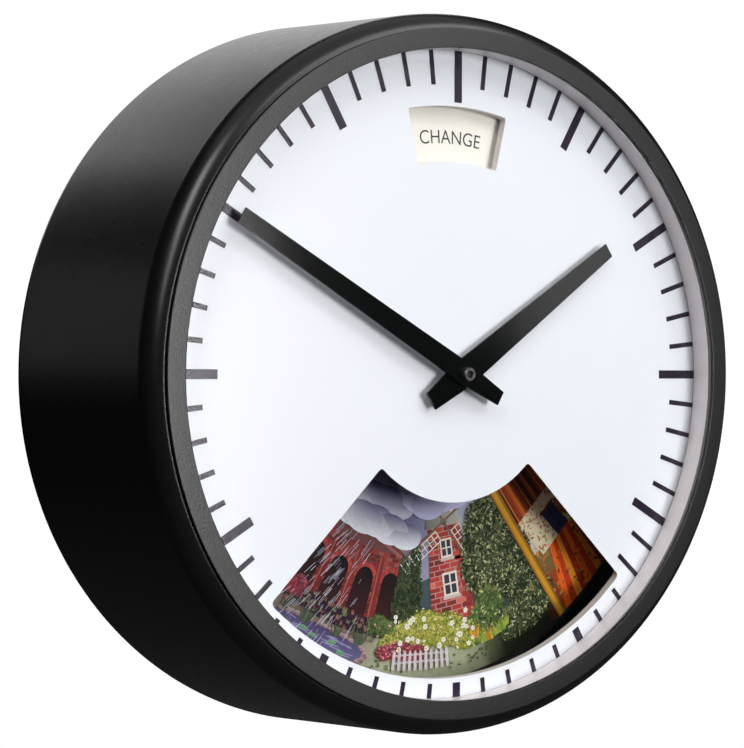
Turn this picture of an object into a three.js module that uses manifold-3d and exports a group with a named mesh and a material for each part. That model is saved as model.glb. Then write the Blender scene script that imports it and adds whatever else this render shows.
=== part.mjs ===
// Wall clock with a turning weather disc, in a deep round drum.
// Millimetres. +Z is up, the dial faces -Y, and +X is to the right of someone who reads it.
// The origin is on the wall, at the middle of the back cover's outer face.
// Angles on the dial are clock angles: degrees clockwise from twelve, as seen from the front.
import * as THREE from 'three';
import { mergeVertices } from 'three/addons/utils/BufferGeometryUtils.js';
import Module from 'manifold-3d';

const wasm = await Module();
wasm.setup();

// Clearances
const SEAT_GAP = 0.1;
const SLIP_GAP = 0.3;
const RUN_GAP = 0.1;

// How finely round pieces are cut
const RING_SIDES = 60;
const MID_SIDES = 24;
const SMALL_SIDES = 12;

// Drum
const DRUM_LENGTH = 116.1;
const DRUM_FRONT_R = 160;
const DRUM_REAR_R = 170;
const DRUM_WALL = 2.5;
const SHOULDER_ROUND = 11;
const REAR_ROUND = 10.5;
const MOUTH_STEP = 0.6;
const SEAT_SINK = 0.5;
const LUG_REACH = 7.777;
const LUG_WIDTH = 14;
const LUG_DEPTH = 8;
const LUG_SCREW_INSET = 4.777;
const LUG_ANGLES = [60, 180, 300];

// Bezel, gasket and glass
const BEZEL_OVERHANG = 3;
const BEZEL_WIDTH = 8.5;
const BEZEL_THICK = 1.7;
const BEZEL_EDGE_ROUND = 0.5;
const SPIGOT_WALL = 1.8;
const SPIGOT_LENGTH = 3.9;
const GASKET_THICK = 0.6;
const GASKET_WIDTH = 2.4;
const GLASS_THICK = 2;

// Reveal ring, marks and dial
const REVEAL_SIDE_GAP = 0.6;
const REVEAL_WALL = 2.2;
const REVEAL_DEPTH = 10.1;
const MARK_FILM = 0.15;
const FILM_GAP = 0.05;
const MARK_COUNT = 60;
const MARKS_PER_HOUR = 5;
const MAJOR_WIDTH = 4;
const MAJOR_LENGTH = 23;
const MINOR_WIDTH = 2.3;
const MINOR_LENGTH = 15.4;
const SHORT_LENGTH = 6.5;
const SHORT_HALF_ANGLE = 43;
const DIAL_SIDE_GAP = 5.687;
const DIAL_THICK = 4;
const DIAL_HOLE_R = 5.2;
const WORD_WINDOW_DROP = 1.7;
const WORD_WINDOW_HEIGHT = 25.1;
const WORD_WINDOW_HALF_ANGLE = 13.1;
const FAN_INNER_R = 57.5;
const FAN_DROP = 8.7;
const FAN_HALF_ANGLE = 45;
const WINDOW_CORNER_R = 2;

// Posts, chassis plate and its screws
const POST_R = 3;
const POST_INSET = 4;
const POST_LENGTH = 32.4;
const POST_ANGLES = [0, 120, 240];
const CHASSIS_SIDE_GAP = 9.633;
const CHASSIS_THICK = 2;
const EAR_WIDTH = 14;
const EAR_GAP = 2.033;
const CASE_SCREW_R = 1.5;
const CASE_SCREW_HEAD_R = 3.1;
const CASE_SCREW_HEAD = 1.4;
const CASE_SCREW_LENGTH = 7;

// Weather disc, word plate and their hub
const DISC_SETBACK = 25;
const DISC_SIDE_GAP = 3;
const DISC_THICK = 2;
const WORD_PLATE_GAP = 2;
const WORD_PLATE_THICK = 1.5;
const WORD_PLATE_INNER_LAP = 6.9;
const WORD_PLATE_OUTER_LAP = 7;
const WORD_PLATE_HALF_ANGLE = 72;
const WORD_ARM_WIDTH = 11;
const WORD_ARM_ANGLES = [-54, 0, 54];
const WORD_BOSS_R = 22;
const HUB_R = 14;
const HUB_SPIGOT_R = 12.5;
const HUB_FRONT_GAP = 0.6;
const HUB_FLANGE_R = 26;
const HUB_FLANGE_THICK = 2.2;
const HUB_COUNTERBORE_R = 10.9;
const HUB_COUNTERBORE_DEPTH = 3.5;
const END_FLOAT = 0.4;
const WORD_RING_R = 16;
const WORD_RING_THICK = 1.2;
const HUB_RING_R = 10.4;
const HUB_RING_THICK = 1.5;
const BEARING_R = 8.25;
const BEARING_BORE_R = 5.3;
const BEARING_FLANGE_R = 16;
const BEARING_FLANGE_THICK = 2;

// Disc drive
const DRIVE_MODULE = 1.25;
const DISC_TEETH = 56;
const PINION_TEETH = 14;
const DISC_GEAR_THICK = 4;
const PINION_THICK = 3.6;
const MOTOR_R = 14;
const MOTOR_DEPTH = 17;
const MOTOR_SHAFT_OFFSET = 8;
const MOTOR_SHAFT_R = 2.5;
const MOTOR_SHAFT_SOCKET = 6;
const MOTOR_EAR_PITCH = 35;
const MOTOR_EAR_R = 3.5;
const MOTOR_EAR_THICK = 1;
const MOTOR_SCREW_R = 1.3;
const MOTOR_SCREW_HEAD_R = 2.4;
const MOTOR_SCREW_HEAD = 1.6;
const MOTOR_SCREW_LENGTH = 4;

// Movement
const MOVE_HALF_WIDTH = 28;
const MOVE_TOP = 26;
const MOVE_BOTTOM = 44;
const MOVE_DEPTH = 16.5;
const MOVE_WALL = 1.2;
const MOVE_LID = 1.5;
const STEM_R = 4.9;
const STEM_BORE_R = 3.5;
const STEM_LENGTH = 22;
const HOUR_TUBE_R = 3.2;
const ARBOR_R = 2;
const ARBOR_TIP_R = 1.3;
const CLOCK_MODULE = 0.6;
const CENTRE_TEETH = 10;
const MIDDLE_WHEEL_TEETH = 30;
const MIDDLE_PINION_TEETH = 8;
const HOUR_TEETH = 32;
const WHEEL_THICK = 1.5;
const WHEEL_GAP = 0.6;
const CENTRE_DISC_R = 9.5;
const CENTRE_DISC_GAP = 1.6;
const MIDDLE_ARBOR_R = 1.2;
const KNOB_R = 5;
const KNOB_THICK = 4.5;
const KNOB_FLUTES = 10;
const COIL_R = 5;
const COIL_CORE_R = 3.6;
const COIL_LENGTH = 22;
const COIL_FLANGE = 1.2;
const COIL_LIFT = 17.5;

// Hands
const HAND_THICK = 1;
const HOUR_STANDOFF = 3.85;
const HOUR_REACH = 103.7;
const HOUR_TAIL = 21.4;
const HOUR_WIDTH = 13.2;
const HOUR_TIP_WIDTH = 7;
const HOUR_TAIL_WIDTH = 8.7;
const HOUR_ANGLE = 55.45;
const TUBE_PROUD = 0.4;
const MINUTE_STANDOFF = 6.15;
const MINUTE_TIP_GAP = 13.2;
const MINUTE_TAIL = 22.2;
const MINUTE_WIDTH = 10.2;
const MINUTE_TIP_WIDTH = 7.2;
const MINUTE_TAIL_WIDTH = 6.8;
const MINUTE_ANGLE = -60.26;
const HAND_NUT_R = 3;
const HAND_NUT_LENGTH = 2.75;
const HAND_NUT_BORE_R = 1.6;
const ARBOR_TIP_SINK = 1.2;

// Cells and battery box
const CELL_R = 7.15;
const CELL_LENGTH = 49.5;
const CELL_NUB_R = 2.7;
const CELL_NUB = 1;
const CELL_COUNT = 3;
const CELL_PITCH = 16.6;
const CELL_SIDE_ROOM = 0.6;
const CELL_END_ROOM = 2;
const BOX_WALL = 1.2;
const BOX_RIB = 0.9;
const BOX_RIB_HEIGHT = 7;
const BOX_DROP = 49;
const BOX_DEPTH = 16;

// Circuit board
const BOARD_WIDTH = 80;
const BOARD_HEIGHT = 50;
const BOARD_THICK = 1.6;
const BOARD_X = -12;
const BOARD_Z = 68;
const BOARD_LIFT = 5;
const PEG_INSET = 5;
const PEG_R = 1.3;
const PEG_BOSS_R = 3;
const PEG_PROUD = 0.6;
const CHIP_SIZE = 14;
const CHIP_THICK = 1.4;
const CHIP_X = -32;
const CHIP_Z = 66;
const SENSOR_SIZE = 6;
const SENSOR_THICK = 2;
const SENSOR_HOLE_R = 1;
const SENSOR_X = 10;
const SENSOR_Z = 76;
const SWITCH_SIZE = 6.2;
const SWITCH_HEIGHT = 4.2;
const BUTTON_SIDE_GAP = 4;
const BUTTON_Z = 82;
const BUTTON_R = 2.7;
const BUTTON_FLANGE_R = 5;
const BUTTON_FLANGE_THICK = 1.5;
const BUTTON_SINK = 0.6;
const BUTTON_FREE_PLAY = 1.4;
const BUTTON_GUIDE_R = 6;
const BUTTON_GUIDE_LENGTH = 17;

// Cables
const CABLE_R = 1.4;
const CABLE_SIDES = 6;
const PLUG_SIZE = 6;
const PLUG_HEIGHT = 5;
const PLUG_Z = 47.5;
const MOTOR_PLUG_X = 10;
const BATTERY_PLUG_X = -34;

// Back cover, hanger, door and latch
const COVER_THICK = 3;
const REAR_RIM_WIDTH = 13;
const LEDGE_WIDTH = 10;
const COVER_SCREW_INSET = 5;
const COVER_SCREW_ANGLES = [45, 135, 225, 315];
const HEAD_SINK = 0.1;
const KEYHOLE_DROP = 31;
const KEYHOLE_R = 5.5;
const KEYHOLE_SLOT = 2.8;
const KEYHOLE_RISE = 11;
const HANGER_HALF_WIDTH = 22;
const HANGER_MARGIN = 12;
const HANGER_THICK = 1.5;
const HANGER_INSET = 0.4;
const VENT_COUNT = 6;
const VENT_LENGTH = 26;
const VENT_WIDTH = 3;
const VENT_PITCH = 7;
const VENT_X = 96;
const VENT_Z = 20;
const DOOR_TOP = 8;
const DOOR_HEIGHT = 97.5;
const DOOR_HALF_WIDTH = 33;
const DOOR_GAP = 0.4;
const HINGE_PIN_R = 0.7;
const HINGE_PIN_BITE = 4;
const LATCH_HALF_WIDTH = 8;
const LATCH_THICK = 1.5;
const LATCH_LENGTH = 17;
const LATCH_INSET = 0.8;
const LATCH_TRAVEL = 3;
const LATCH_STEM_HALF = 2.4;
const LATCH_STEM_LENGTH = 3;
const THUMB_HALF_WIDTH = 5;
const THUMB_THICK = 0.7;
const THUMB_LENGTH = 8;
const THUMB_WALL = 1.6;

// Planes across the clock, from the wall to the front
const drumFront = -DRUM_LENGTH;
const seat = drumFront + SEAT_SINK;
const bezelBack = seat - SLIP_GAP;
const bezelFront = bezelBack - BEZEL_THICK;
const gasketFront = bezelBack + SEAT_GAP;
const gasketBack = gasketFront + GASKET_THICK;
const glassFront = gasketBack + SEAT_GAP;
const glassBack = glassFront + GLASS_THICK;
const revealFront = glassBack + SEAT_GAP;
const revealBack = revealFront + REVEAL_DEPTH;
const marksFront = revealBack + SEAT_GAP;
const marksBack = marksFront + MARK_FILM;
const dialFront = marksBack + FILM_GAP;
const dialBack = dialFront + DIAL_THICK;
const postFront = dialBack + SEAT_GAP;
const postBack = postFront + POST_LENGTH;
const chassisFront = postBack + SEAT_GAP;
const chassisBack = chassisFront + CHASSIS_THICK;
const lugBack = chassisFront - SEAT_GAP;
const wordFront = dialBack + WORD_PLATE_GAP;
const wordBack = wordFront + WORD_PLATE_THICK;
const discFront = dialFront + DISC_SETBACK;
const discBack = discFront + DISC_THICK;
const hubFlangeFront = discBack + SEAT_GAP;
const hubFlangeBack = hubFlangeFront + HUB_FLANGE_THICK;
const discGearFront = hubFlangeBack + SEAT_GAP;
const discGearBack = discGearFront + DISC_GEAR_THICK;
const bearingBack = chassisFront - SEAT_GAP;
const bearingFlangeFront = bearingBack - BEARING_FLANGE_THICK;
const hubBack = bearingFlangeFront - END_FLOAT;
const hubFront = dialBack + HUB_FRONT_GAP;
const hubShoulder = wordBack + SEAT_GAP;
const counterboreFloor = hubFront + HUB_COUNTERBORE_DEPTH;
const bearingFront = hubFront + END_FLOAT;
const moveFront = chassisBack + SEAT_GAP;
const moveBack = moveFront + MOVE_DEPTH;
const lidFront = moveBack + SEAT_GAP;
const lidBack = lidFront + MOVE_LID;
const boardFront = chassisBack + BOARD_LIFT + SEAT_GAP;
const boardBack = boardFront + BOARD_THICK;
const coverInner = -COVER_THICK;
const ledgeBack = coverInner - SEAT_GAP;
const ledgeFront = ledgeBack - DRUM_WALL;

// Radii that follow the drum: its own first, then what fits in its mouth, in its wall and in its rim
const shoulderR = DRUM_FRONT_R - SHOULDER_ROUND;
const shoulderY = drumFront + SHOULDER_ROUND;
const rearCentreR = DRUM_REAR_R - REAR_ROUND;
const slope = (DRUM_REAR_R - DRUM_FRONT_R) / (-REAR_ROUND - shoulderY);
function drumInnerR(y) {
  return DRUM_FRONT_R + slope * (y - shoulderY) - DRUM_WALL;
}
const mouthR = shoulderR + MOUTH_STEP;
const spigotOuterR = mouthR - SLIP_GAP;
const spigotInnerR = spigotOuterR - SPIGOT_WALL;
const bezelOuterR = shoulderR + BEZEL_OVERHANG;
const bezelOpeningR = bezelOuterR - BEZEL_WIDTH;
const glassR = spigotInnerR - SLIP_GAP;
const revealOuterR = spigotInnerR - REVEAL_SIDE_GAP;
const revealInnerR = revealOuterR - REVEAL_WALL;
const majorInnerR = revealInnerR - MAJOR_LENGTH;
const wordWindowOuterR = majorInnerR - WORD_WINDOW_DROP;
const wordWindowInnerR = wordWindowOuterR - WORD_WINDOW_HEIGHT;
const fanOuterR = revealInnerR - FAN_DROP;
const dialR = drumInnerR(dialBack) - DIAL_SIDE_GAP;
const postCentreR = dialR - POST_INSET;
const discR = postCentreR - POST_R - DISC_SIDE_GAP;
const chassisR = drumInnerR(chassisFront) - CHASSIS_SIDE_GAP;
const earOuterR = drumInnerR(chassisFront) - EAR_GAP;
const lugWallR = drumInnerR(lugBack - LUG_DEPTH);
const lugScrewR = lugWallR - LUG_SCREW_INSET;
const recessR = DRUM_REAR_R - REAR_RIM_WIDTH;
const ledgeInnerR = recessR - LEDGE_WIDTH;
const coverScrewR = recessR - COVER_SCREW_INSET;
const keyholeZ = ledgeInnerR - KEYHOLE_DROP;
const buttonX = -(HANGER_HALF_WIDTH + BUTTON_SIDE_GAP + BUTTON_GUIDE_R);

// Geometry from three.js as a solid that booleans accept
function solid(geometry) {
  const bare = geometry.clone();
  bare.deleteAttribute('normal');
  bare.deleteAttribute('uv');
  const merged = mergeVertices(bare, 1e-4);
  const mesh = new wasm.Mesh({
    numProp: 3,
    vertProperties: merged.attributes.position.array,
    triVerts: new Uint32Array(merged.index.array),
  });
  return new wasm.Manifold(mesh);
}

// A solid back as three.js geometry
function geometryOf(body) {
  const data = body.getMesh();
  const geometry = new THREE.BufferGeometry();
  const stride = data.numProp;
  const position = new Float32Array(data.numVert * 3);
  for (let i = 0; i < data.numVert; i += 1) {
    position[3 * i] = data.vertProperties[stride * i];
    position[3 * i + 1] = data.vertProperties[stride * i + 1];
    position[3 * i + 2] = data.vertProperties[stride * i + 2];
  }
  geometry.setAttribute('position', new THREE.BufferAttribute(position, 3));
  geometry.setIndex(new THREE.BufferAttribute(new Uint32Array(data.triVerts), 1));
  const flat = geometry.toNonIndexed();
  flat.computeVertexNormals();
  return flat;
}

// A point at radius r and clock angle a on a plane parallel to the dial
function at(r, a) {
  const t = THREE.MathUtils.degToRad(a);
  return new THREE.Vector2(r * Math.sin(t), r * Math.cos(t));
}

// Points along an arc of clock angles, both ends included
function arc(r, from, to, steps) {
  const points = [];
  for (let i = 0; i <= steps; i += 1) {
    points.push(at(r, from + ((to - from) * i) / steps));
  }
  return points;
}

// A whole circle of points about (x, z)
function circle(r, sides, x = 0, z = 0) {
  return arc(r, 0, 360 - 360 / sides, sides - 1).map((p) => p.add(new THREE.Vector2(x, z)));
}

function rectangle(x0, x1, z0, z1) {
  return [
    new THREE.Vector2(x0, z0),
    new THREE.Vector2(x1, z0),
    new THREE.Vector2(x1, z1),
    new THREE.Vector2(x0, z1),
  ];
}

// The same outline with each corner that has a radius replaced by a small arc
function roundCorners(points, corners, r) {
  const out = [];
  points.forEach((p, i) => {
    if (!corners.includes(i)) {
      out.push(p.clone());
      return;
    }
    const before = points[(i + points.length - 1) % points.length].clone().sub(p).normalize();
    const after = points[(i + 1) % points.length].clone().sub(p).normalize();
    const half = Math.acos(THREE.MathUtils.clamp(before.dot(after), -1, 1)) / 2;
    const reach = r / Math.tan(half);
    const middle = before.clone().add(after).normalize().multiplyScalar(r / Math.sin(half)).add(p);
    const start = before.clone().multiplyScalar(reach).add(p).sub(middle);
    const end = after.clone().multiplyScalar(reach).add(p).sub(middle);
    for (let k = 0; k <= 3; k += 1) {
      const v = start.clone().multiplyScalar(1 - k / 3).add(end.clone().multiplyScalar(k / 3));
      out.push(v.normalize().multiplyScalar(r).add(middle));
    }
  });
  return out;
}

// A flat piece parallel to the dial, from its front plane to its back plane.
// ExtrudeGeometry turns the holes the right way only when the outline runs anticlockwise.
function plate(outline, holes, front, back) {
  const outer = [...outline];
  if (THREE.ShapeUtils.isClockWise(outer)) {
    outer.reverse();
  }
  const shape = new THREE.Shape(outer);
  shape.holes = holes.map((hole) => new THREE.Path(hole));
  const geometry = new THREE.ExtrudeGeometry(shape, { depth: back - front, bevelEnabled: false });
  geometry.rotateX(Math.PI / 2);
  geometry.translate(0, back, 0);
  return solid(geometry);
}

// A block given by its limits along X, Y and Z
function block(x0, x1, y0, y1, z0, z1) {
  const geometry = new THREE.BoxGeometry(x1 - x0, y1 - y0, z1 - z0);
  geometry.translate((x0 + x1) / 2, (y0 + y1) / 2, (z0 + z1) / 2);
  return solid(geometry);
}

// A turned piece about an axis along Y through (x, z). Each profile point is [radius, y].
function turned(profile, sides, x = 0, z = 0) {
  const points = profile.map(([r, y]) => new THREE.Vector2(r, y));
  const onAxis = points[0].x === 0 && points[points.length - 1].x === 0;
  if (THREE.ShapeUtils.area(points) < 0) {
    points.reverse();
  }
  if (!onAxis) {
    points.push(points[0].clone());
  }
  const geometry = new THREE.LatheGeometry(points, sides);
  geometry.translate(x, 0, z);
  return solid(geometry);
}

function rod(r, front, back, sides, x = 0, z = 0) {
  return turned([[0, front], [r, front], [r, back], [0, back]], sides, x, z);
}

function ring(inner, outer, front, back, sides, x = 0, z = 0) {
  return turned([[inner, front], [outer, front], [outer, back], [inner, back]], sides, x, z);
}

// Points of a quarter round in a profile, from angle a to b measured from the +radius direction
function fillet(r, y, size, a, b, steps) {
  const points = [];
  for (let i = 0; i <= steps; i += 1) {
    const t = THREE.MathUtils.degToRad(a + ((b - a) * i) / steps);
    points.push([r + size * Math.cos(t), y + size * Math.sin(t)]);
  }
  return points;
}

// Outline of a spur gear with straight-sided teeth. phase is the clock angle of one tooth.
function gearOutline(teeth, module, phase, x = 0, z = 0) {
  const pitchR = (teeth * module) / 2;
  const tipR = pitchR + 0.8 * module;
  const rootR = pitchR - 1.05 * module;
  const step = 360 / teeth;
  const points = [];
  for (let i = 0; i < teeth; i += 1) {
    const a = phase + i * step;
    points.push(at(rootR, a - 0.28 * step));
    points.push(at(tipR, a - 0.11 * step));
    points.push(at(tipR, a + 0.11 * step));
    points.push(at(rootR, a + 0.28 * step));
  }
  return points.map((p) => p.add(new THREE.Vector2(x, z)));
}

function material(color, roughness, metalness) {
  return new THREE.MeshStandardMaterial({ color, roughness, metalness });
}

const root = new THREE.Group();
root.name = 'wall_clock';

function add(name, body, color, roughness, metalness, parent = root) {
  const mesh = new THREE.Mesh(geometryOf(body), material(color, roughness, metalness));
  mesh.name = name;
  parent.add(mesh);
  return mesh;
}

// Drum: one spun shell with a rounded shoulder, a recess for the cover and three lugs inside
const seatStart = (Math.asin((seat - shoulderY) / SHOULDER_ROUND) * 180) / Math.PI;
const innerRearY = ledgeFront - DRUM_WALL * 2.4;
const drumProfile = [
  [mouthR, seat],
  ...fillet(shoulderR, shoulderY, SHOULDER_ROUND, seatStart, 0, 5),
  ...fillet(rearCentreR, -REAR_ROUND, REAR_ROUND, 0, 90, 5),
  [recessR, 0],
  [recessR, ledgeFront],
  [rearCentreR, ledgeFront],
  [drumInnerR(innerRearY), innerRearY],
  [drumInnerR(shoulderY), shoulderY],
  ...fillet(shoulderR, shoulderY, SHOULDER_ROUND - DRUM_WALL, -30, -60, 1),
  [mouthR, drumFront + DRUM_WALL + SEAT_SINK],
];
let drum = turned(drumProfile, RING_SIDES);
for (const angle of LUG_ANGLES) {
  const wall = lugWallR + DRUM_WALL * 0.4;
  const lugFront = lugBack - LUG_DEPTH;
  const lug = block(-LUG_WIDTH / 2, LUG_WIDTH / 2, lugFront, lugBack, lugWallR - LUG_REACH, wall);
  const tapR = CASE_SCREW_R + RUN_GAP;
  const hole = rod(tapR, lugBack - CASE_SCREW_LENGTH, lugBack + 1, SMALL_SIDES, 0, lugScrewR);
  drum = drum.add(lug.subtract(hole).rotate([0, angle, 0]));
}
add('case_drum', drum, 0x1d1d1f, 0.5, 0.3);

// Flat ring that is welded into the recess and takes the cover's screws
let ledge = ring(ledgeInnerR, recessR - SLIP_GAP, ledgeFront, ledgeBack, RING_SIDES);
for (const angle of COVER_SCREW_ANGLES) {
  const place = at(coverScrewR, angle);
  const hole = rod(CASE_SCREW_R + RUN_GAP, ledgeFront - 1, ledgeBack + 1, SMALL_SIDES, place.x, place.y);
  ledge = ledge.subtract(hole);
}
add('cover_ledge', ledge, 0x1d1d1f, 0.5, 0.3);

// Bezel: a flat ring whose lip covers the glass's edge, on a spigot that enters the drum's mouth.
const bezelProfile = [
  [bezelOpeningR, bezelFront],
  [bezelOuterR - BEZEL_EDGE_ROUND, bezelFront],
  [bezelOuterR, bezelFront + BEZEL_EDGE_ROUND],
  [bezelOuterR, bezelBack],
  [spigotOuterR, bezelBack],
  [spigotOuterR, bezelBack + SPIGOT_LENGTH],
  [spigotInnerR, bezelBack + SPIGOT_LENGTH],
  [spigotInnerR, bezelBack],
  [bezelOpeningR, bezelBack],
];
add('bezel', turned(bezelProfile, RING_SIDES), 0x4a4a4b, 0.75, 0.1);

const gasket = ring(glassR - GASKET_WIDTH, glassR, gasketFront, gasketBack, RING_SIDES);
add('glass_gasket', gasket, 0x161616, 0.9, 0);
add('glass', rod(glassR, glassFront, glassBack, RING_SIDES), 0xeaf2f5, 0.05, 0);

const reveal = ring(revealInnerR, revealOuterR, revealFront, revealBack, RING_SIDES);
add('reveal_ring', reveal, 0xe4dada, 0.3, 0);

// Minute marks: one thin film, a hidden ring with sixty bars pointing inwards.
const markRingInnerR = revealInnerR + 0.2;
let markFilm = ring(markRingInnerR, revealOuterR, marksFront, marksBack, RING_SIDES);
for (let i = 0; i < MARK_COUNT; i += 1) {
  const angle = (i * 360) / MARK_COUNT;
  const major = i % MARKS_PER_HOUR === 0;
  const half = (major ? MAJOR_WIDTH : MINOR_WIDTH) / 2;
  const long = major ? majorInnerR : revealInnerR - MINOR_LENGTH;
  const inner = Math.abs(angle - 180) < SHORT_HALF_ANGLE ? revealInnerR - SHORT_LENGTH : long;
  const bar = block(-half, half, marksFront, marksBack, inner, markRingInnerR + REVEAL_WALL / 2);
  markFilm = markFilm.add(bar.rotate([0, angle, 0]));
}
add('minute_marks', markFilm, 0x1c1620, 0.5, 0);

// Dial with its two windows
function sector(inner, outer, middle, half, steps) {
  const outline = [
    ...arc(outer, middle - half, middle + half, steps),
    ...arc(inner, middle + half, middle - half, steps),
  ];
  const corners = [0, steps, steps + 1, 2 * steps + 1];
  return roundCorners(outline, corners, WINDOW_CORNER_R);
}
const wordWindow = sector(wordWindowInnerR, wordWindowOuterR, 0, WORD_WINDOW_HALF_ANGLE, 4);
const fanWindow = sector(FAN_INNER_R, fanOuterR, 180, FAN_HALF_ANGLE, 10);
const dialHole = circle(DIAL_HOLE_R, SMALL_SIDES);
const dial = plate(circle(dialR, RING_SIDES), [wordWindow, fanWindow, dialHole], dialFront, dialBack);
add('dial', dial, 0xf3f5fb, 0.35, 0);

POST_ANGLES.forEach((angle, i) => {
  const place = at(postCentreR, angle);
  const post = rod(POST_R, postFront, postBack, SMALL_SIDES, place.x, place.y);
  add(`dial_post_${i + 1}`, post, 0xb9bcc0, 0.35, 0.9);
});

// Chassis plate with an ear at each lug, and pegs for the circuit board
const driveDistance = ((DISC_TEETH + PINION_TEETH) * DRIVE_MODULE) / 2;
const motorX = driveDistance + MOTOR_SHAFT_OFFSET;
const motorEarZ = MOTOR_EAR_PITCH / 2;
const motorTapR = MOTOR_SCREW_R + RUN_GAP;
const motorHoles = [-1, 1].map((side) => circle(motorTapR, SMALL_SIDES, motorX, side * motorEarZ));
const shaftHole = circle(MOTOR_SHAFT_R + 1.5, SMALL_SIDES, driveDistance, 0);
const stemHole = circle(STEM_R + SLIP_GAP, SMALL_SIDES);
const chassisHoles = [stemHole, shaftHole, ...motorHoles];
let chassis = plate(circle(chassisR, RING_SIDES), chassisHoles, chassisFront, chassisBack);
for (const angle of LUG_ANGLES) {
  const ear = block(-EAR_WIDTH / 2, EAR_WIDTH / 2, chassisFront, chassisBack, chassisR - 5, earOuterR);
  const hole = rod(CASE_SCREW_R + SLIP_GAP, chassisFront - 1, chassisBack + 1, SMALL_SIDES, 0, lugScrewR);
  chassis = chassis.add(ear.rotate([0, angle, 0])).subtract(hole.rotate([0, angle, 0]));
}
const pegX = BOARD_WIDTH / 2 - PEG_INSET;
const pegZ = BOARD_HEIGHT / 2 - PEG_INSET;
const pegs = [
  [BOARD_X - pegX, BOARD_Z - pegZ],
  [BOARD_X + pegX, BOARD_Z - pegZ],
  [BOARD_X - pegX, BOARD_Z + pegZ],
  [BOARD_X + pegX, BOARD_Z + pegZ],
];
for (const [x, z] of pegs) {
  const peg = turned(
    [
      [0, chassisFront + CHASSIS_THICK / 2],
      [PEG_BOSS_R, chassisFront + CHASSIS_THICK / 2],
      [PEG_BOSS_R, chassisBack + BOARD_LIFT],
      [PEG_R, chassisBack + BOARD_LIFT],
      [PEG_R, boardBack + PEG_PROUD],
      [0, boardBack + PEG_PROUD],
    ],
    SMALL_SIDES,
    x,
    z,
  );
  chassis = chassis.add(peg);
}
add('chassis_plate', chassis, 0xa9acb0, 0.45, 0.85);

// Pan-head screw seen from the back, its head's underside at y
function screw(y, shankR, length, headR, head, x, z) {
  return turned(
    [
      [0, y - length],
      [shankR, y - length],
      [shankR, y],
      [headR, y],
      [headR, y + head * 0.6],
      [headR * 0.8, y + head],
      [0, y + head],
    ],
    SMALL_SIDES,
    x,
    z,
  );
}
LUG_ANGLES.forEach((angle, i) => {
  const place = at(lugScrewR, angle);
  const under = chassisBack + SEAT_GAP;
  const length = CASE_SCREW_LENGTH + CHASSIS_THICK - 1;
  const body = screw(under, CASE_SCREW_R, length, CASE_SCREW_HEAD_R, CASE_SCREW_HEAD, place.x, place.y);
  add(`chassis_screw_${i + 1}`, body, 0xc2c4c8, 0.3, 0.95);
});

// Bearing tube: screwed on the movement's stem, it clamps the movement to the chassis plate.
const bearingProfile = [
  [BEARING_BORE_R, bearingFront],
  [BEARING_R, bearingFront],
  [BEARING_R, bearingFlangeFront],
  [BEARING_FLANGE_R, bearingFlangeFront],
  [BEARING_FLANGE_R, bearingBack],
  [BEARING_BORE_R, bearingBack],
];
add('bearing_tube', turned(bearingProfile, MID_SIDES), 0xc8a552, 0.3, 0.95);

// Everything that turns with the weather disc
const weather = new THREE.Group();
weather.name = 'weather_group';
root.add(weather);

const hubHoleR = HUB_R + SLIP_GAP;
const disc = plate(circle(discR, RING_SIDES), [circle(hubHoleR, MID_SIDES)], discFront, discBack);
add('weather_disc', disc, 0x8c9a86, 0.6, 0, weather);

const wordPlateInnerR = wordWindowInnerR - WORD_PLATE_INNER_LAP;
const wordPlateOuterR = wordWindowOuterR + WORD_PLATE_OUTER_LAP;
const wordHole = [circle(HUB_SPIGOT_R + SLIP_GAP, MID_SIDES)];
let wordPlate = plate(circle(WORD_BOSS_R, MID_SIDES), wordHole, wordFront, wordBack);
for (const angle of WORD_ARM_ANGLES) {
  const inner = WORD_BOSS_R - 3;
  const outer = wordPlateInnerR + 3;
  const arm = block(-WORD_ARM_WIDTH / 2, WORD_ARM_WIDTH / 2, wordFront, wordBack, inner, outer);
  wordPlate = wordPlate.add(arm.rotate([0, angle, 0]));
}
const wordArc = [
  ...arc(wordPlateOuterR, -WORD_PLATE_HALF_ANGLE, WORD_PLATE_HALF_ANGLE, 18),
  ...arc(wordPlateInnerR, WORD_PLATE_HALF_ANGLE, -WORD_PLATE_HALF_ANGLE, 18),
];
wordPlate = wordPlate.add(plate(wordArc, [], wordFront, wordBack));
add('word_plate', wordPlate, 0xfbf8ee, 0.6, 0, weather);

const hubBoreR = BEARING_R + RUN_GAP;
const hubProfile = [
  [HUB_COUNTERBORE_R, hubFront],
  [HUB_SPIGOT_R, hubFront],
  [HUB_SPIGOT_R, hubShoulder],
  [HUB_R, hubShoulder],
  [HUB_R, hubFlangeFront],
  [HUB_FLANGE_R, hubFlangeFront],
  [HUB_FLANGE_R, hubFlangeBack],
  [HUB_R, hubFlangeBack],
  [HUB_R, hubBack],
  [hubBoreR, hubBack],
  [hubBoreR, counterboreFloor],
  [HUB_COUNTERBORE_R, counterboreFloor],
];
add('disc_hub', turned(hubProfile, MID_SIDES), 0x2c2e31, 0.5, 0, weather);

const gearHole = [circle(hubHoleR, MID_SIDES)];
const discGear = plate(gearOutline(DISC_TEETH, DRIVE_MODULE, 90), gearHole, discGearFront, discGearBack);
add('disc_gear', discGear, 0xe9e4d4, 0.5, 0, weather);

const wordRingFront = hubFront + SEAT_GAP;
const wordRingBore = HUB_SPIGOT_R + SLIP_GAP;
const wordRingBack = Math.min(wordRingFront + WORD_RING_THICK, wordFront - SEAT_GAP);
const wordRing = ring(wordRingBore, WORD_RING_R, wordRingFront, wordRingBack, MID_SIDES);
add('word_ring', wordRing, 0x3a3c40, 0.4, 0.8, weather);

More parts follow.
